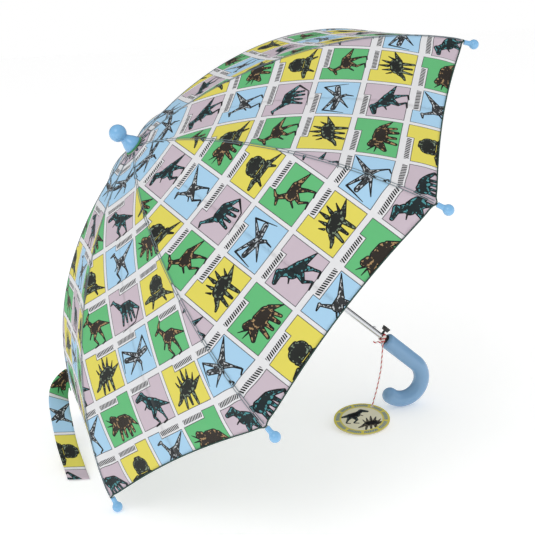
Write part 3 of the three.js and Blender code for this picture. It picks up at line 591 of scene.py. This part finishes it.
def cloth_point(middle, sideways, share_across, share_down, lift=0.0):
    """A point of a half gore: its place in the umbrella, and on the flat cloth."""
    hem_r = FAR_R - HEM_RISE * (1 - share_across**2)
    end = place_at_radius(hem_r / math.cos(HALF_GORE))
    place = CLOTH_START + (end - CLOTH_START) * share_down
    sag = SAG * (1 - share_across**2) * math.sin(math.pi * min(1, share_down) ** 1.3)
    r, z = beside_rib(place, CLOTH_ABOVE_RIB + lift - sag)
    middle_r = r * math.cos(HALF_GORE)
    across = middle_r * math.tan(HALF_GORE) * share_across
    from_corner = math.hypot(CLOTH_END - place, middle_r * math.tan(HALF_GORE) * (1 - share_across))
    turned = math.atan2(middle_r * math.tan(HALF_GORE) * (1 - share_across), CLOTH_END - place + 0.002)
    pull = (PULL * math.exp(-from_corner / PULL_REACH) * math.sin(PULL_FOLDS * turned)
            * min(1, from_corner / CLOTH_PLAIN))
    point = placed(middle, middle_r, z + pull, sideways, across)
    return point, (across, CLOTH_END - place + PRINT_START)


def half_gore(name, middle, sideways, hand):
    """One half gore's cloth without its thickness."""
    vertices, uvs, faces = [], [], []
    for i in range(DOWN_STEPS + 1):
        for k in range(ACROSS_STEPS + 1):
            point, (x, y) = cloth_point(middle, sideways, k / ACROSS_STEPS, i / DOWN_STEPS)
            vertices.append(point)
            uvs.append((hand * x, y))
    for i in range(DOWN_STEPS):
        for k in range(ACROSS_STEPS):
            a = i * (ACROSS_STEPS + 1) + k
            face = (a, a + ACROSS_STEPS + 1, a + ACROSS_STEPS + 2, a + 1)
            faces.append(face if hand > 0 else face[::-1])
    return new_object(name, vertices, faces, uvs)


def with_thickness(obj, thick, outside, inside):
    """Gives a sheet its thickness inwards, and its inside a material of its own."""
    obj.data.materials.append(outside)
    obj.data.materials.append(inside)
    wall = obj.modifiers.new("wall", "SOLIDIFY")
    wall.thickness = thick
    wall.offset = -1
    wall.material_offset = 1
    wall.material_offset_rim = 0
    return finished(obj)


def finished(obj):
    """Turns an object and its modifiers into a plain mesh."""
    evaluated = obj.evaluated_get(bpy.context.evaluated_depsgraph_get())
    mesh = bpy.data.meshes.new_from_object(evaluated)
    obj.modifiers.clear()
    obj.data = mesh
    return obj


def panel_places():
    """Each half gore: its node's name, its rib's index, the gore's middle, and its hand."""
    for gore in range(8):
        middle = (rib_out[gore] + rib_out[(gore + 1) % 8]).normalized()
        for letter, rib, hand in (("a", gore, -1), ("b", (gore + 1) % 8, 1)):
            yield f"panel_{gore + 1}_{letter}", rib, middle, hand


def bend_with_fold(obj):
    """Bakes the object's placement into its mesh; the cloth is not bent with its rib or creased."""
    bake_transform(obj)


for node, rib, middle, hand in panel_places():
    panel = half_gore(f"cloth_{node}", middle, shaft_up.cross(middle) * hand, hand)
    with_thickness(panel, CLOTH_THICK, CLOTH_OUTSIDE, CLOTH_INSIDE)
    bend_with_fold(panel)
    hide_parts(node)


# Seams and hem: the gores are joined over the ribs by a felled seam with a row of stitches on
# each side and a ridge in dark grey-blue, painted shade along the seam, and the hem is rolled
# and overlocked in dark green thread.
SEAM_HALF = 0.0015
STITCH_SPACING = 0.0036
STITCH_LENGTH = 0.0026
THREAD_R = 0.00032
SEAM_CORD_R = 0.00042
HEM_CORD_R = 0.00075
HEM_SPACING = 0.0021
HEM_THREAD_R = 0.0010
HEM_STITCH_LENGTH = 0.0012


def placed_node(tree, kind, **sockets):
    """A node with its sockets set or linked; their names have _ for a space."""
    node = tree.nodes.new(kind)
    for label, value in sockets.items():
        socket = node.inputs[label.replace("_", " ")]
        if isinstance(value, bpy.types.NodeSocket):
            tree.links.new(value, socket)
        else:
            socket.default_value = value
    return node


def geometry_group(name, inputs):
    """A geometry node group: its tree, its input node, its output node and its inputs' identifiers."""
    tree = bpy.data.node_groups.new(name, "GeometryNodeTree")
    identifiers = {label: tree.interface.new_socket(
        label, in_out="INPUT", socket_type=kind).identifier for label, kind in inputs}
    tree.interface.new_socket("Shape", in_out="OUTPUT", socket_type="NodeSocketGeometry")
    return tree, tree.nodes.new("NodeGroupInput"), tree.nodes.new("NodeGroupOutput"), identifiers


def with_group(obj, tree, identifiers, **inputs):
    """Runs a geometry group on an object and keeps the plain mesh that it makes."""
    modifier = obj.modifiers.new("shape", "NODES")
    modifier.node_group = tree
    for label, value in inputs.items():
        modifier[identifiers[label.replace("_", " ")]] = value
    return finished(obj)


def line_object(name, line):
    """An object of edges only, for a group to run along."""
    mesh = bpy.data.meshes.new(name)
    mesh.from_pydata([tuple(v) for v in line], [(i, i + 1) for i in range(len(line) - 1)], [])
    obj = bpy.data.objects.new(name, mesh)
    bpy.context.scene.collection.objects.link(obj)
    return obj


sewn, sewn_in, sewn_out, SEWN_INPUTS = geometry_group("sewn line", [
    ("Line", "NodeSocketGeometry"), ("Spacing", "NodeSocketFloat"), ("Stitch", "NodeSocketFloat"),
    ("Thread", "NodeSocketFloat"), ("Cord", "NodeSocketFloat"),
    ("Thread Material", "NodeSocketMaterial"), ("Cord Material", "NodeSocketMaterial")])
sewn_curve = placed_node(sewn, "GeometryNodeMeshToCurve", Mesh=sewn_in.outputs["Line"])
cord_section = placed_node(sewn, "GeometryNodeCurvePrimitiveCircle", Resolution=8,
                           Radius=sewn_in.outputs["Cord"])
cord_mesh = placed_node(sewn, "GeometryNodeCurveToMesh", Curve=sewn_curve.outputs[0],
                        Profile_Curve=cord_section.outputs[0], Fill_Caps=True)
cord_dyed = placed_node(sewn, "GeometryNodeSetMaterial", Geometry=cord_mesh.outputs[0],
                        Material=sewn_in.outputs["Cord Material"])
stitch_points = placed_node(sewn, "GeometryNodeCurveToPoints", Curve=sewn_curve.outputs[0])
stitch_points.mode = "LENGTH"
sewn.links.new(sewn_in.outputs["Spacing"], stitch_points.inputs[2])
stitch_ball = placed_node(sewn, "GeometryNodeMeshUVSphere", Segments=8, Rings=5, Radius=1.0)
stitch_size = placed_node(sewn, "ShaderNodeCombineXYZ", X=sewn_in.outputs["Thread"],
                          Y=sewn_in.outputs["Thread"], Z=sewn_in.outputs["Stitch"])
stitches = placed_node(sewn, "GeometryNodeInstanceOnPoints", Points=stitch_points.outputs["Points"],
                       Instance=stitch_ball.outputs[0], Rotation=stitch_points.outputs["Rotation"],
                       Scale=stitch_size.outputs[0])
real_stitches = placed_node(sewn, "GeometryNodeRealizeInstances", Geometry=stitches.outputs[0])
stitches_dyed = placed_node(sewn, "GeometryNodeSetMaterial", Geometry=real_stitches.outputs[0],
                            Material=sewn_in.outputs["Thread Material"])
sewn_both = sewn.nodes.new("GeometryNodeJoinGeometry")
sewn.links.new(cord_dyed.outputs[0], sewn_both.inputs[0])
sewn.links.new(stitches_dyed.outputs[0], sewn_both.inputs[0])
sewn.links.new(sewn_both.outputs[0], sewn_out.inputs[0])

# Painted shade: the seam's ridge is dark grey-blue to stand for the shadow line along each seam.
SEAM_RIDGE_SHADE = new_material("seam ridge painted shade", Base_Color=(*srgb("6f7f86"), 1), Roughness=0.8)[2]
PALE_THREAD = new_material("pale thread", Base_Color=(*srgb("dfe3e4"), 1), Roughness=0.7)[2]
GREEN_THREAD = new_material("green thread", Base_Color=(*srgb("24584a"), 1), Roughness=0.75)[2]
HEM_ROLL = new_material("hem roll", Base_Color=(*srgb("2c3f3c"), 1), Roughness=0.8)[2]

for node, rib, middle, hand in panel_places():
    sideways = shaft_up.cross(middle) * hand
    seam_line = []
    for step in range(121):
        down = 0.01 + 0.985 * step / 120
        wide = cloth_point(middle, sideways, 1.0, down)[1][0]
        seam_line.append(cloth_point(middle, sideways, 1 - SEAM_HALF / wide, down, 0.0001)[0])
    seam = with_group(line_object(f"seam_{node}", seam_line), sewn, SEWN_INPUTS,
                      Spacing=STITCH_SPACING, Stitch=STITCH_LENGTH / 2, Thread=THREAD_R,
                      Cord=SEAM_CORD_R, Thread_Material=PALE_THREAD, Cord_Material=SEAM_RIDGE_SHADE)
    bend_with_fold(seam)
    hem_line = [cloth_point(middle, sideways, step / 60, 1.0, -0.0002)[0] for step in range(61)]
    hem = with_group(line_object(f"hem_{node}", hem_line), sewn, SEWN_INPUTS,
                     Spacing=HEM_SPACING, Stitch=HEM_STITCH_LENGTH / 2, Thread=HEM_THREAD_R,
                     Cord=HEM_CORD_R, Thread_Material=GREEN_THREAD, Cord_Material=HEM_ROLL)
    bend_with_fold(hem)


# Ribs and stretchers: eight curved steel ribs and the straight struts that lift them, of bright
# zinc-plated wire and strip, pinned together with rivets.
def refined(node, material, bevel=0.0, angle=35.0):
    """A finer copy of a CAD piece: its edges eased, its round faces smooth, and its material."""
    source = frame["nodes"][node]
    mesh = source.data.copy()
    if "custom_normal" in mesh.attributes:
        mesh.attributes.remove(mesh.attributes["custom_normal"])
    shape = bmesh.new()
    shape.from_mesh(mesh)
    bmesh.ops.remove_doubles(shape, verts=shape.verts, dist=1e-6)
    shape.to_mesh(mesh)
    shape.free()
    obj = bpy.data.objects.new(f"fine_{node}", mesh)
    bpy.context.scene.collection.objects.link(obj)
    if bevel:
        eased = obj.modifiers.new("eased", "BEVEL")
        eased.width = bevel
        eased.segments = 2
        eased.limit_method = "ANGLE"
        eased.angle_limit = math.radians(angle)
        finished(obj)
    obj.data.materials.clear()
    obj.data.materials.append(material)
    obj.data.polygons.foreach_set("use_smooth", [True] * len(obj.data.polygons))
    obj.data.set_sharp_from_angle(angle=math.radians(angle))
    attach(obj, source["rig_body"])
    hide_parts(node)
    return obj


steel_tree, steel_shader, STEEL = new_material(
    "plated steel", Base_Color=(0.66, 0.67, 0.69, 1), Metallic=1.0)
steel_tree.links.new(number(steel_tree, "MULTIPLY_ADD", noise(steel_tree, 900, 3), 0.22, 0.2),
                     steel_shader.inputs["Roughness"])
for k in range(1, 9):
    for node in (f"rib_{k}", f"stretcher_{k}"):
        refined(node, STEEL, 0.00025)


# Rib tips: a moulded light blue ball pushed onto the end of each rib.
TIP_LENGTH = 13  # millimetres, as a turned piece's profile is
TIP_BALL_R = 6.1
TIP_BALL_FOOT = 3.6
TIP_NECK = [(-TIP_LENGTH, 0), (-TIP_LENGTH, 2.5), (-12.7, 2.9), (-7.2, 2.9), (-6.0, 3.1), (-5.5, 3.4)]


def swept(name, centres, radii, forward=None, sides=48):
    """A round solid whose radius changes along a line; a straight one is given its direction."""
    vertices, faces = [], []
    across = (forward or centres[1] - centres[0]).normalized().orthogonal().normalized()
    for i, (centre, radius) in enumerate(zip(centres, radii)):
        step = forward or centres[min(i + 1, len(centres) - 1)] - centres[max(i - 1, 0)]
        step = step.normalized()
        across = (across - step * across.dot(step)).normalized()
        other = step.cross(across)
        for side in range(sides):
            angle = 2 * math.pi * side / sides
            vertices.append(centre + radius * (across * math.cos(angle) + other * math.sin(angle)))
    for i in range(len(centres) - 1):
        for side in range(sides):
            a, b = i * sides + side, i * sides + (side + 1) % sides
            faces.append((a, b, b + sides, a + sides))
    faces.append(tuple(reversed(range(sides))))
    faces.append(tuple(range((len(centres) - 1) * sides, len(centres) * sides)))
    obj = new_object(name, vertices, faces)
    obj.data.set_sharp_from_angle(angle=math.radians(50))
    return obj


def turned(name, foot, direction, profile, sides=48):
    """A turned solid from (height, radius) pairs in millimetres over a foot."""
    centres = [foot + direction * height / 1000 for height, _ in profile]
    return swept(name, centres, [max(radius, 0.01) / 1000 for _, radius in profile], direction, sides)


def ball_profile(centre, radius, neck, steps=16):
    """The (height, radius) pairs of a ball, from where its neck meets it to its top."""
    start = -math.acos(neck / radius)
    angles = [start + (math.pi / 2 - start) * i / steps for i in range(steps + 1)]
    return [(centre + radius * math.sin(a), radius * math.cos(a)) for a in angles]


# The faint unevenness of a moulded skin, as a group.
skin_group, skin_in, skin_out = group_tree(
    "moulded skin", [("Scale", "NodeSocketFloat")], [("Height", "NodeSocketFloat")])
skin_place = skin_group.nodes.new("ShaderNodeTexCoord")
skin_waves = placed_node(skin_group, "ShaderNodeTexNoise", Vector=skin_place.outputs["Object"],
                         Scale=skin_in.outputs["Scale"], Detail=3.0)
skin_group.links.new(skin_waves.outputs["Fac"], skin_out.inputs[0])


def plastic(name, colour, rough):
    """Moulded plastic in one colour."""
    tree, shader, material = new_material(name, Base_Color=(*srgb(colour), 1), Roughness=rough,
                                          Specular_IOR_Level=0.5, Coat_Weight=0.3)
    skin = placed_group(tree, skin_group, Scale=160.0)
    bumped(tree, shader, skin.outputs[0], 0.0001, 0.25)
    return material


BLUE_PLASTIC = plastic("light blue plastic", "84bbe6", 0.2)
for k, out in enumerate(rib_out, start=1):
    mouth_r, mouth_z = beside_rib(RIB_LENGTH - TIP_LENGTH / 1000, 0)
    end = placed(out, TIP_CIRCLE_R, 0.0)
    tip_up = (end - placed(out, mouth_r, mouth_z)).normalized()
    tip = turned(f"tip_{k}", end, tip_up, TIP_NECK + ball_profile(0, TIP_BALL_R, TIP_BALL_FOOT, 20))
    tip.data.materials.append(BLUE_PLASTIC)
    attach(tip, f"rib_arm_{k}")
    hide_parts(f"rib_tip_{k}")


# Crown, runner, bumper spring and rosette: the slotted block that holds the ribs, the sleeve that
# slides on the shaft, the spring that stops it, and a disc of cloth under the ferrule.
def in_umbrella(x, y, z):
    """A point in the umbrella's own axes, in millimetres: toward the floor, sideways, and up."""
    return (crown_middle + umbrella_low * x / 1000 + umbrella_side * y / 1000
            + shaft_up * (z / 1000 - PIVOT_Z))


BLACK_PLASTIC = plastic("black plastic", "141416", 0.38)
refined("crown", STEEL, 0.0003)
refined("crown_wire", STEEL)
refined("runner", BLACK_PLASTIC, 0.0003)
refined("runner_wire", STEEL)
rosette_cloth = new_material("rosette cloth", Base_Color=(*srgb("4fa765"), 1), Roughness=0.75)[2]
refined("canopy_rosette", rosette_cloth, 0.0002)

coil, coil_in, coil_out, COIL_INPUTS = geometry_group("coil", [
    ("Start", "NodeSocketGeometry"), ("Turns", "NodeSocketFloat"), ("Radius", "NodeSocketFloat"),
    ("Height", "NodeSocketFloat"), ("Wire", "NodeSocketFloat"), ("Material", "NodeSocketMaterial")])
coil_line = placed_node(coil, "GeometryNodeCurveSpiral", Resolution=40,
                        Rotations=coil_in.outputs["Turns"], Start_Radius=coil_in.outputs["Radius"],
                        End_Radius=coil_in.outputs["Radius"], Height=coil_in.outputs["Height"])
coil_section = placed_node(coil, "GeometryNodeCurvePrimitiveCircle", Resolution=12,
                           Radius=coil_in.outputs["Wire"])
coil_mesh = placed_node(coil, "GeometryNodeCurveToMesh", Curve=coil_line.outputs[0],
                        Profile_Curve=coil_section.outputs[0], Fill_Caps=True)
coil_real = placed_node(coil, "GeometryNodeRealizeInstances", Geometry=coil_mesh.outputs[0])
coil_plated = placed_node(coil, "GeometryNodeSetMaterial", Geometry=coil_real.outputs[0],
                          Material=coil_in.outputs["Material"])
coil.links.new(coil_plated.outputs[0], coil_out.inputs[0])


def coil_spring(node, foot, direction, turns, radius, height, wire):
    """A wound spring in place of a CAD sleeve, along a direction from its foot."""
    obj = line_object(f"coil_{node}", [foot, foot + direction * height])
    with_group(obj, coil, COIL_INPUTS, Turns=turns, Radius=radius, Height=height, Wire=wire,
               Material=STEEL)
    turn = direction.to_track_quat("Z", "Y").to_matrix().to_4x4()
    obj.data.transform(Matrix.Translation(foot) @ turn)
    obj.data.polygons.foreach_set("use_smooth", [True] * len(obj.data.polygons))
    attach(obj, frame["nodes"][node]["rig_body"])
    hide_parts(node)
    return obj


coil_spring("bumper_spring", in_umbrella(0, 0, 188.9), shaft_up, 11.0, 0.0049, 0.0206, 0.0006)
BUTTON_Z = -226
BUTTON_SPRING_ENDS = (-1.7, 2.3)  # from the catch to the far wall of the shaft
button_coil = coil_spring(
    "button_spring", in_umbrella(BUTTON_SPRING_ENDS[0], 0, BUTTON_Z), umbrella_low, 6.0, 0.0009,
    (BUTTON_SPRING_ENDS[1] - BUTTON_SPRING_ENDS[0]) / 1000, 0.00022)
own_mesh(button_coil)


# Ferrule: a moulded ball on a bell-shaped foot, screwed onto the top of the shaft.
FERRULE_BALL_R = 11.0
FERRULE_BALL_FOOT = 6.1
FERRULE_BALL_UP = 25.0  # the ball's middle over the foot
ferrule_foot = [
    (0.0, 0), (0.0, 11.6), (0.5, 12.0), (2.6, 11.9), (5.0, 11.1), (7.2, 10.1), (9.2, 9.0),
    (11.0, 7.9), (12.8, 6.9), (14.2, 6.3), (15.2, 6.0),
]
ferrule = turned("ball_ferrule", in_umbrella(0, 0, 220.3), shaft_up,
                 ferrule_foot + ball_profile(FERRULE_BALL_UP, FERRULE_BALL_R, FERRULE_BALL_FOOT, 28), 64)
ferrule.data.materials.append(BLUE_PLASTIC)
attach(ferrule, "frame")
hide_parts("ferrule")


# Shaft: a chrome-plated steel tube, with a slot for each catch.
CHROME = new_material("chrome", Base_Color=(0.72, 0.73, 0.76, 1), Metallic=1.0, Roughness=0.1)[2]
refined("shaft_tube", CHROME, 0.0, 30)


# Handle and its collar: a hook moulded in blue-grey plastic, with a rounded shoulder, a round end,
# and a dark ring where the shaft goes in.
HANDLE_R = 11.5
HOOK_R = 29.85
HANDLE_TOP = -236.0
HANDLE_BEND = -298.0
SHOULDER_DEEP = 3.7
shoulder = [(0.0, 0.1), (0.05, 6.6), (0.5, 8.6), (1.3, 10.1), (2.4, 11.05), (SHOULDER_DEEP, HANDLE_R)]
straight = HANDLE_TOP - SHOULDER_DEEP - HANDLE_BEND
handle_line = [in_umbrella(0, 0, HANDLE_TOP - depth) for depth, _ in shoulder]
handle_radii = [radius / 1000 for _, radius in shoulder]
for step in range(1, 14):
    handle_line.append(in_umbrella(0, 0, HANDLE_TOP - SHOULDER_DEEP - straight * step / 13))
    handle_radii.append(HANDLE_R / 1000)
for step in range(1, 61):
    angle = math.pi * (1 + step / 60)
    handle_line.append(in_umbrella(
        HOOK_R + HOOK_R * math.cos(angle), 0, HANDLE_BEND + HOOK_R * math.sin(angle)))
    handle_radii.append(HANDLE_R / 1000)
for step in range(1, 15):
    angle = math.pi / 2 * step / 14
    handle_line.append(in_umbrella(2 * HOOK_R, 0, HANDLE_BEND + HANDLE_R * math.sin(angle)))
    handle_radii.append(max(0.00002, HANDLE_R * math.cos(angle) / 1000))
handle = swept("hook_handle", handle_line, handle_radii, None, 56)
handle.data.materials.append(plastic("blue-grey plastic", "80a8cd", 0.24))
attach(handle, "frame")
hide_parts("handle")

collar = turned("dark_collar", in_umbrella(0, 0, -236.1), shaft_up,
                [(0, 4.2), (0, 7.0), (0.6, 7.2), (2.2, 6.9), (2.8, 6.3), (2.8, 4.2)])
collar.data.materials.append(BLACK_PLASTIC)
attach(collar, "frame")
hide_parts("handle_collar")


# Button and catches: a black push button on a stem, and the two spring levers inside the shaft
# whose noses stand out of their slots.
refined("release_button", BLACK_PLASTIC, 0.0002, 25)
refined("catch_lever", STEEL, 0.00012)
refined("upper_catch", STEEL, 0.00012)


# Twine round the shaft: two turns, a knot on the near side and one loose end.
WRAP_R = 5.2
WRAP_TURNS = 2.25
WRAP_FOOT, WRAP_RISE = -231.6, 4.4
KNOT_SIZE = 0.00085
turns_route = []
for step in range(97):
    angle = math.radians(60) + 2 * math.pi * WRAP_TURNS * step / 96
    turns_route.append(in_umbrella(WRAP_R * math.cos(angle), WRAP_R * math.sin(angle),
                                   WRAP_FOOT + WRAP_RISE * step / 96))
turns = twisted_tube("twine_turns", turns_route, TWINE_R, TWINE_TURNS)
knot_middle = in_umbrella(4.05, 7.0, -230.1)
knot_points = []
for step in range(25):
    angle = 2 * math.pi * step / 26
    knot_points.append(knot_middle + Vector((
        math.sin(angle) + 2 * math.sin(2 * angle), -math.sin(3 * angle),
        math.cos(angle) - 2 * math.cos(2 * angle))) * KNOT_SIZE)
loose_end = [(-0.0040, -0.0012, -0.0014), (-0.0072, -0.0004, 0.0004), (-0.0104, 0.0010, -0.0010),
             (-0.0138, 0.0026, 0.0006)]
knot_points += [knot_middle + Vector(offset) for offset in loose_end]
knot = twisted_tube("twine_knot", smooth_route(knot_points, 200), TWINE_R, TWINE_TURNS)
for piece in (turns, knot):
    piece.data.materials.append(TWINE)
    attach(piece, "frame")
    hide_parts("twine_wrap")


# Tag: a disc of printed card on the twine, with a yellow border of plain strokes round a cream
# middle that has two dinosaurs, and a plain back.
TAG_MIDDLE = Vector((0.14492, -0.03521, 0.00764))
TAG_RIGHT = Vector((0.94608, -0.32392, 0.0))
TAG_TOP = Vector((0.32011, 0.93494, 0.15299))
TAG_INNER_R, TAG_STROKES = 28.9, (31.2, 36.4)

tag_tree, tag_shader, TAG_FRONT = new_material("printed card", Roughness=0.55)
tag_uv = tag_tree.nodes.new("ShaderNodeUVMap")
tag_uv.uv_map = "cloth"
tag_point = vector_op(tag_tree, "SCALE", tag_uv.outputs[0], 1000.0)
tag_axes = tag_tree.nodes.new("ShaderNodeSeparateXYZ")
tag_tree.links.new(tag_point, tag_axes.inputs[0])
tag_r = vector_op(tag_tree, "LENGTH", tag_point)
tag_angle = number(tag_tree, "ARCTAN2", tag_axes.outputs[1], tag_axes.outputs[0])
in_middle = number(tag_tree, "LESS_THAN", tag_r, TAG_INNER_R)
stroke_radius = number(tag_tree, "MULTIPLY", number(tag_tree, "GREATER_THAN", tag_r, TAG_STROKES[0]),
                       number(tag_tree, "LESS_THAN", tag_r, TAG_STROKES[1]))
tag_strokes = number(tag_tree, "LESS_THAN", number(tag_tree, "FRACT", number(
    tag_tree, "MULTIPLY_ADD", tag_angle, 13.1, number(tag_tree, "MULTIPLY", tag_r, 0.21))), 0.66)
tag_gaps = number(tag_tree, "LESS_THAN", number(tag_tree, "FRACT", number(
    tag_tree, "MULTIPLY_ADD", tag_angle, 1.43, 0.2)), 0.84)
tag_ink = number(tag_tree, "MULTIPLY", number(tag_tree, "MULTIPLY", stroke_radius, tag_strokes),
                 tag_gaps)
tag_figures = []
for limbs, middle_x, middle_y, flip, hide_colour in (
        (TYRANT_LIKE, -10.0, 7.0, -1.08, "4a5b58"), (PLATE_BACKED, 11.5, -11.5, 1.05, "6b6152")):
    shifted = vector_op(tag_tree, "SUBTRACT", tag_point, (middle_x, middle_y, 0))
    sized = vector_op(tag_tree, "MULTIPLY", shifted, (1 / flip, 1 / abs(flip), 1))
    tag_figures.append((drawn(tag_tree, sized, limbs), srgb(hide_colour)))
tag_noise = noise(tag_tree, 330, 3, "UV")
middle_colour = srgb("e6e0c4")
for distance, hide_colour in tag_figures:
    dark = number(tag_tree, "LESS_THAN", number(tag_tree, "MULTIPLY_ADD", distance, 0.1, tag_noise), 0.33)
    middle_colour = mixed(tag_tree, number(tag_tree, "LESS_THAN", distance, 0.0), middle_colour,
                          mixed(tag_tree, dark, hide_colour, INK))
    edge = number(tag_tree, "LESS_THAN", number(tag_tree, "ABSOLUTE", number(
        tag_tree, "ADD", distance, 0.4)), 0.4)
    middle_colour = mixed(tag_tree, edge, middle_colour, INK)
border_colour = mixed(tag_tree, tag_ink, srgb("dccf58"), srgb("5f84a8"))
tag_tree.links.new(mixed(tag_tree, in_middle, border_colour, middle_colour),
                   tag_shader.inputs["Base Color"])
TAG_BACK = new_material("plain card", Base_Color=(*srgb("d8d2bd"), 1), Roughness=0.7)[2]

tag = refined("tag", TAG_FRONT, 0.0003)
tag.data.materials.append(TAG_BACK)
tag_layer = tag.data.uv_layers.new(name="cloth")
for loop in tag.data.loops:
    from_middle = tag.data.vertices[loop.vertex_index].co - TAG_MIDDLE
    tag_layer.data[loop.index].uv = (from_middle.dot(TAG_RIGHT), from_middle.dot(TAG_TOP))
tag_up = TAG_RIGHT.cross(TAG_TOP)
for face in tag.data.polygons:
    face.material_index = 0 if face.normal.dot(tag_up) > 0.5 else 1


# Strap: a doubled band of the same cloth, sewn to the canopy's outside near one rib. It goes round
# the closed umbrella, and hangs down here.
STRAP_WIDTH = 0.028
STRAP_THICK = 0.0009
STRAP_EDGE = 0.47  # how far across the stitched edge lies, as a share of the width
STRAP_POINTS, STRAP_ACROSS = 90, 8
STRAP_CENTRES = [
    (-0.23695, 0.08473, 0.08383), (-0.23845, 0.09773, 0.08383), (-0.24995, 0.09573, 0.07068),
    (-0.25395, 0.07673, 0.05670), (-0.25395, 0.04673, 0.04025), (-0.25295, 0.01473, 0.02463),
    (-0.24995, -0.01627, 0.01147), (-0.24695, -0.04627, 0.00160),
]
STRAP_SIDES = [
    (0.084, 0.0, -0.996), (0.084, 0.0, -0.996), (0.750, 0.050, -0.660), (0.934, -0.281, -0.221),
    (0.944, -0.331, 0.0), (0.944, -0.331, 0.0), (0.944, -0.331, 0.0), (0.944, -0.331, 0.0),
]
STRAP_CLOTH = (0.0765, 0.030)  # where the band is cut from the print

strap_route = smooth_route(STRAP_CENTRES, STRAP_POINTS)
strap_marks = [min(range(STRAP_POINTS), key=lambda i: (strap_route[i] - Vector(c)).length)
               for c in STRAP_CENTRES]
strap_sides = [Vector([np.interp(i, strap_marks, [side[axis] for side in STRAP_SIDES])
                       for axis in range(3)]).normalized() for i in range(STRAP_POINTS)]
vertices, uvs, faces = [], [], []
along = 0.0
for i, (middle, side) in enumerate(zip(strap_route, strap_sides)):
    if i:
        along += (middle - strap_route[i - 1]).length
    for k in range(STRAP_ACROSS + 1):
        across = STRAP_WIDTH * (k / STRAP_ACROSS - 0.5)
        vertices.append(middle + side * across)
        uvs.append((STRAP_CLOTH[0] - along, STRAP_CLOTH[1] + across))
for i in range(STRAP_POINTS - 1):
    for k in range(STRAP_ACROSS):
        a = i * (STRAP_ACROSS + 1) + k
        faces.append((a, a + 1, a + STRAP_ACROSS + 2, a + STRAP_ACROSS + 1))
strap = new_object("strap_band", vertices, faces, uvs)
with_thickness(strap, STRAP_THICK, CLOTH_OUTSIDE, CLOTH_OUTSIDE)
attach(strap, "rib_arm_8")
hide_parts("strap")
# The edge cords take the seam ridge's dark grey-blue, painted shade along the strap's sewn edges.
for name, share in (("strap_edge_left", -STRAP_EDGE), ("strap_edge_right", STRAP_EDGE)):
    edge_line = [m + s * STRAP_WIDTH * share for m, s in zip(strap_route, strap_sides)]
    edge = with_group(line_object(name, edge_line), sewn, SEWN_INPUTS,
                      Spacing=STITCH_SPACING, Stitch=STITCH_LENGTH / 2, Thread=0.0006,
                      Cord=0.0005, Thread_Material=PALE_THREAD, Cord_Material=SEAM_RIDGE_SHADE)
    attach(edge, "rib_arm_8")


# Floor and light: a plain pale floor under a pale sky, one broad soft light from the upper left and
# a weaker one from the right, so that the cloth's colours stay clear.
FLOOR_HALF = 9
FLOOR = new_material("pale floor", Base_Color=(0.94, 0.94, 0.94, 1), Emission_Color=(1, 1, 1, 1),
                     Emission_Strength=0.26, Roughness=0.9, Specular_IOR_Level=0.1)[2]
floor = new_object("floor", [(-FLOOR_HALF, -FLOOR_HALF, 0), (FLOOR_HALF, -FLOOR_HALF, 0),
                             (FLOOR_HALF, FLOOR_HALF, 0), (-FLOOR_HALF, FLOOR_HALF, 0)], [(0, 1, 2, 3)])
floor.data.materials.append(FLOOR)

world = bpy.data.worlds.new("studio")
world.use_nodes = True
sky = world.node_tree
sky_direction = sky.nodes.new("ShaderNodeTexCoord").outputs["Generated"]
sky_axes = placed_node(sky, "ShaderNodeSeparateXYZ", Vector=sky_direction)
light_path = sky.nodes.new("ShaderNodeLightPath")
overhead = placed_node(sky, "ShaderNodeMapRange", Value=sky_axes.outputs[2], From_Min=0.0,
                       From_Max=0.12, To_Min=0.0, To_Max=1.0)
reflected = mixed(sky, overhead.outputs[0], (1.0, 1.0, 1.0), (0.03, 0.03, 0.035))
lit = mixed(sky, light_path.outputs["Is Glossy Ray"], (1.0, 1.0, 1.0), reflected)
seen = mixed(sky, light_path.outputs["Is Camera Ray"], lit, (1.25, 1.25, 1.25))
sky.links.new(seen, sky.nodes["Background"].inputs[0])
sky.nodes["Background"].inputs[1].default_value = 0.8
bpy.context.scene.world = world


def soft_light(name, place, target, size, power):
    """A round area light that faces a target."""
    light = bpy.data.lights.new(name, "AREA")
    light.shape = "DISK"
    light.size = size
    light.energy = power
    lamp = bpy.data.objects.new(name, light)
    lamp.matrix_world = (Vector(place) - Vector(target)).to_track_quat("Z", "Y").to_matrix().to_4x4()
    lamp.location = place
    bpy.context.scene.collection.objects.link(lamp)


soft_light("key", (-1.4, -1.6, 2.4), (0, 0, 0.25), 1.6, 16)
soft_light("fill", (2.2, -1.2, 1.2), (0, 0, 0.25), 1.4, 4)

bpy.context.scene.view_settings.view_transform = "Standard"
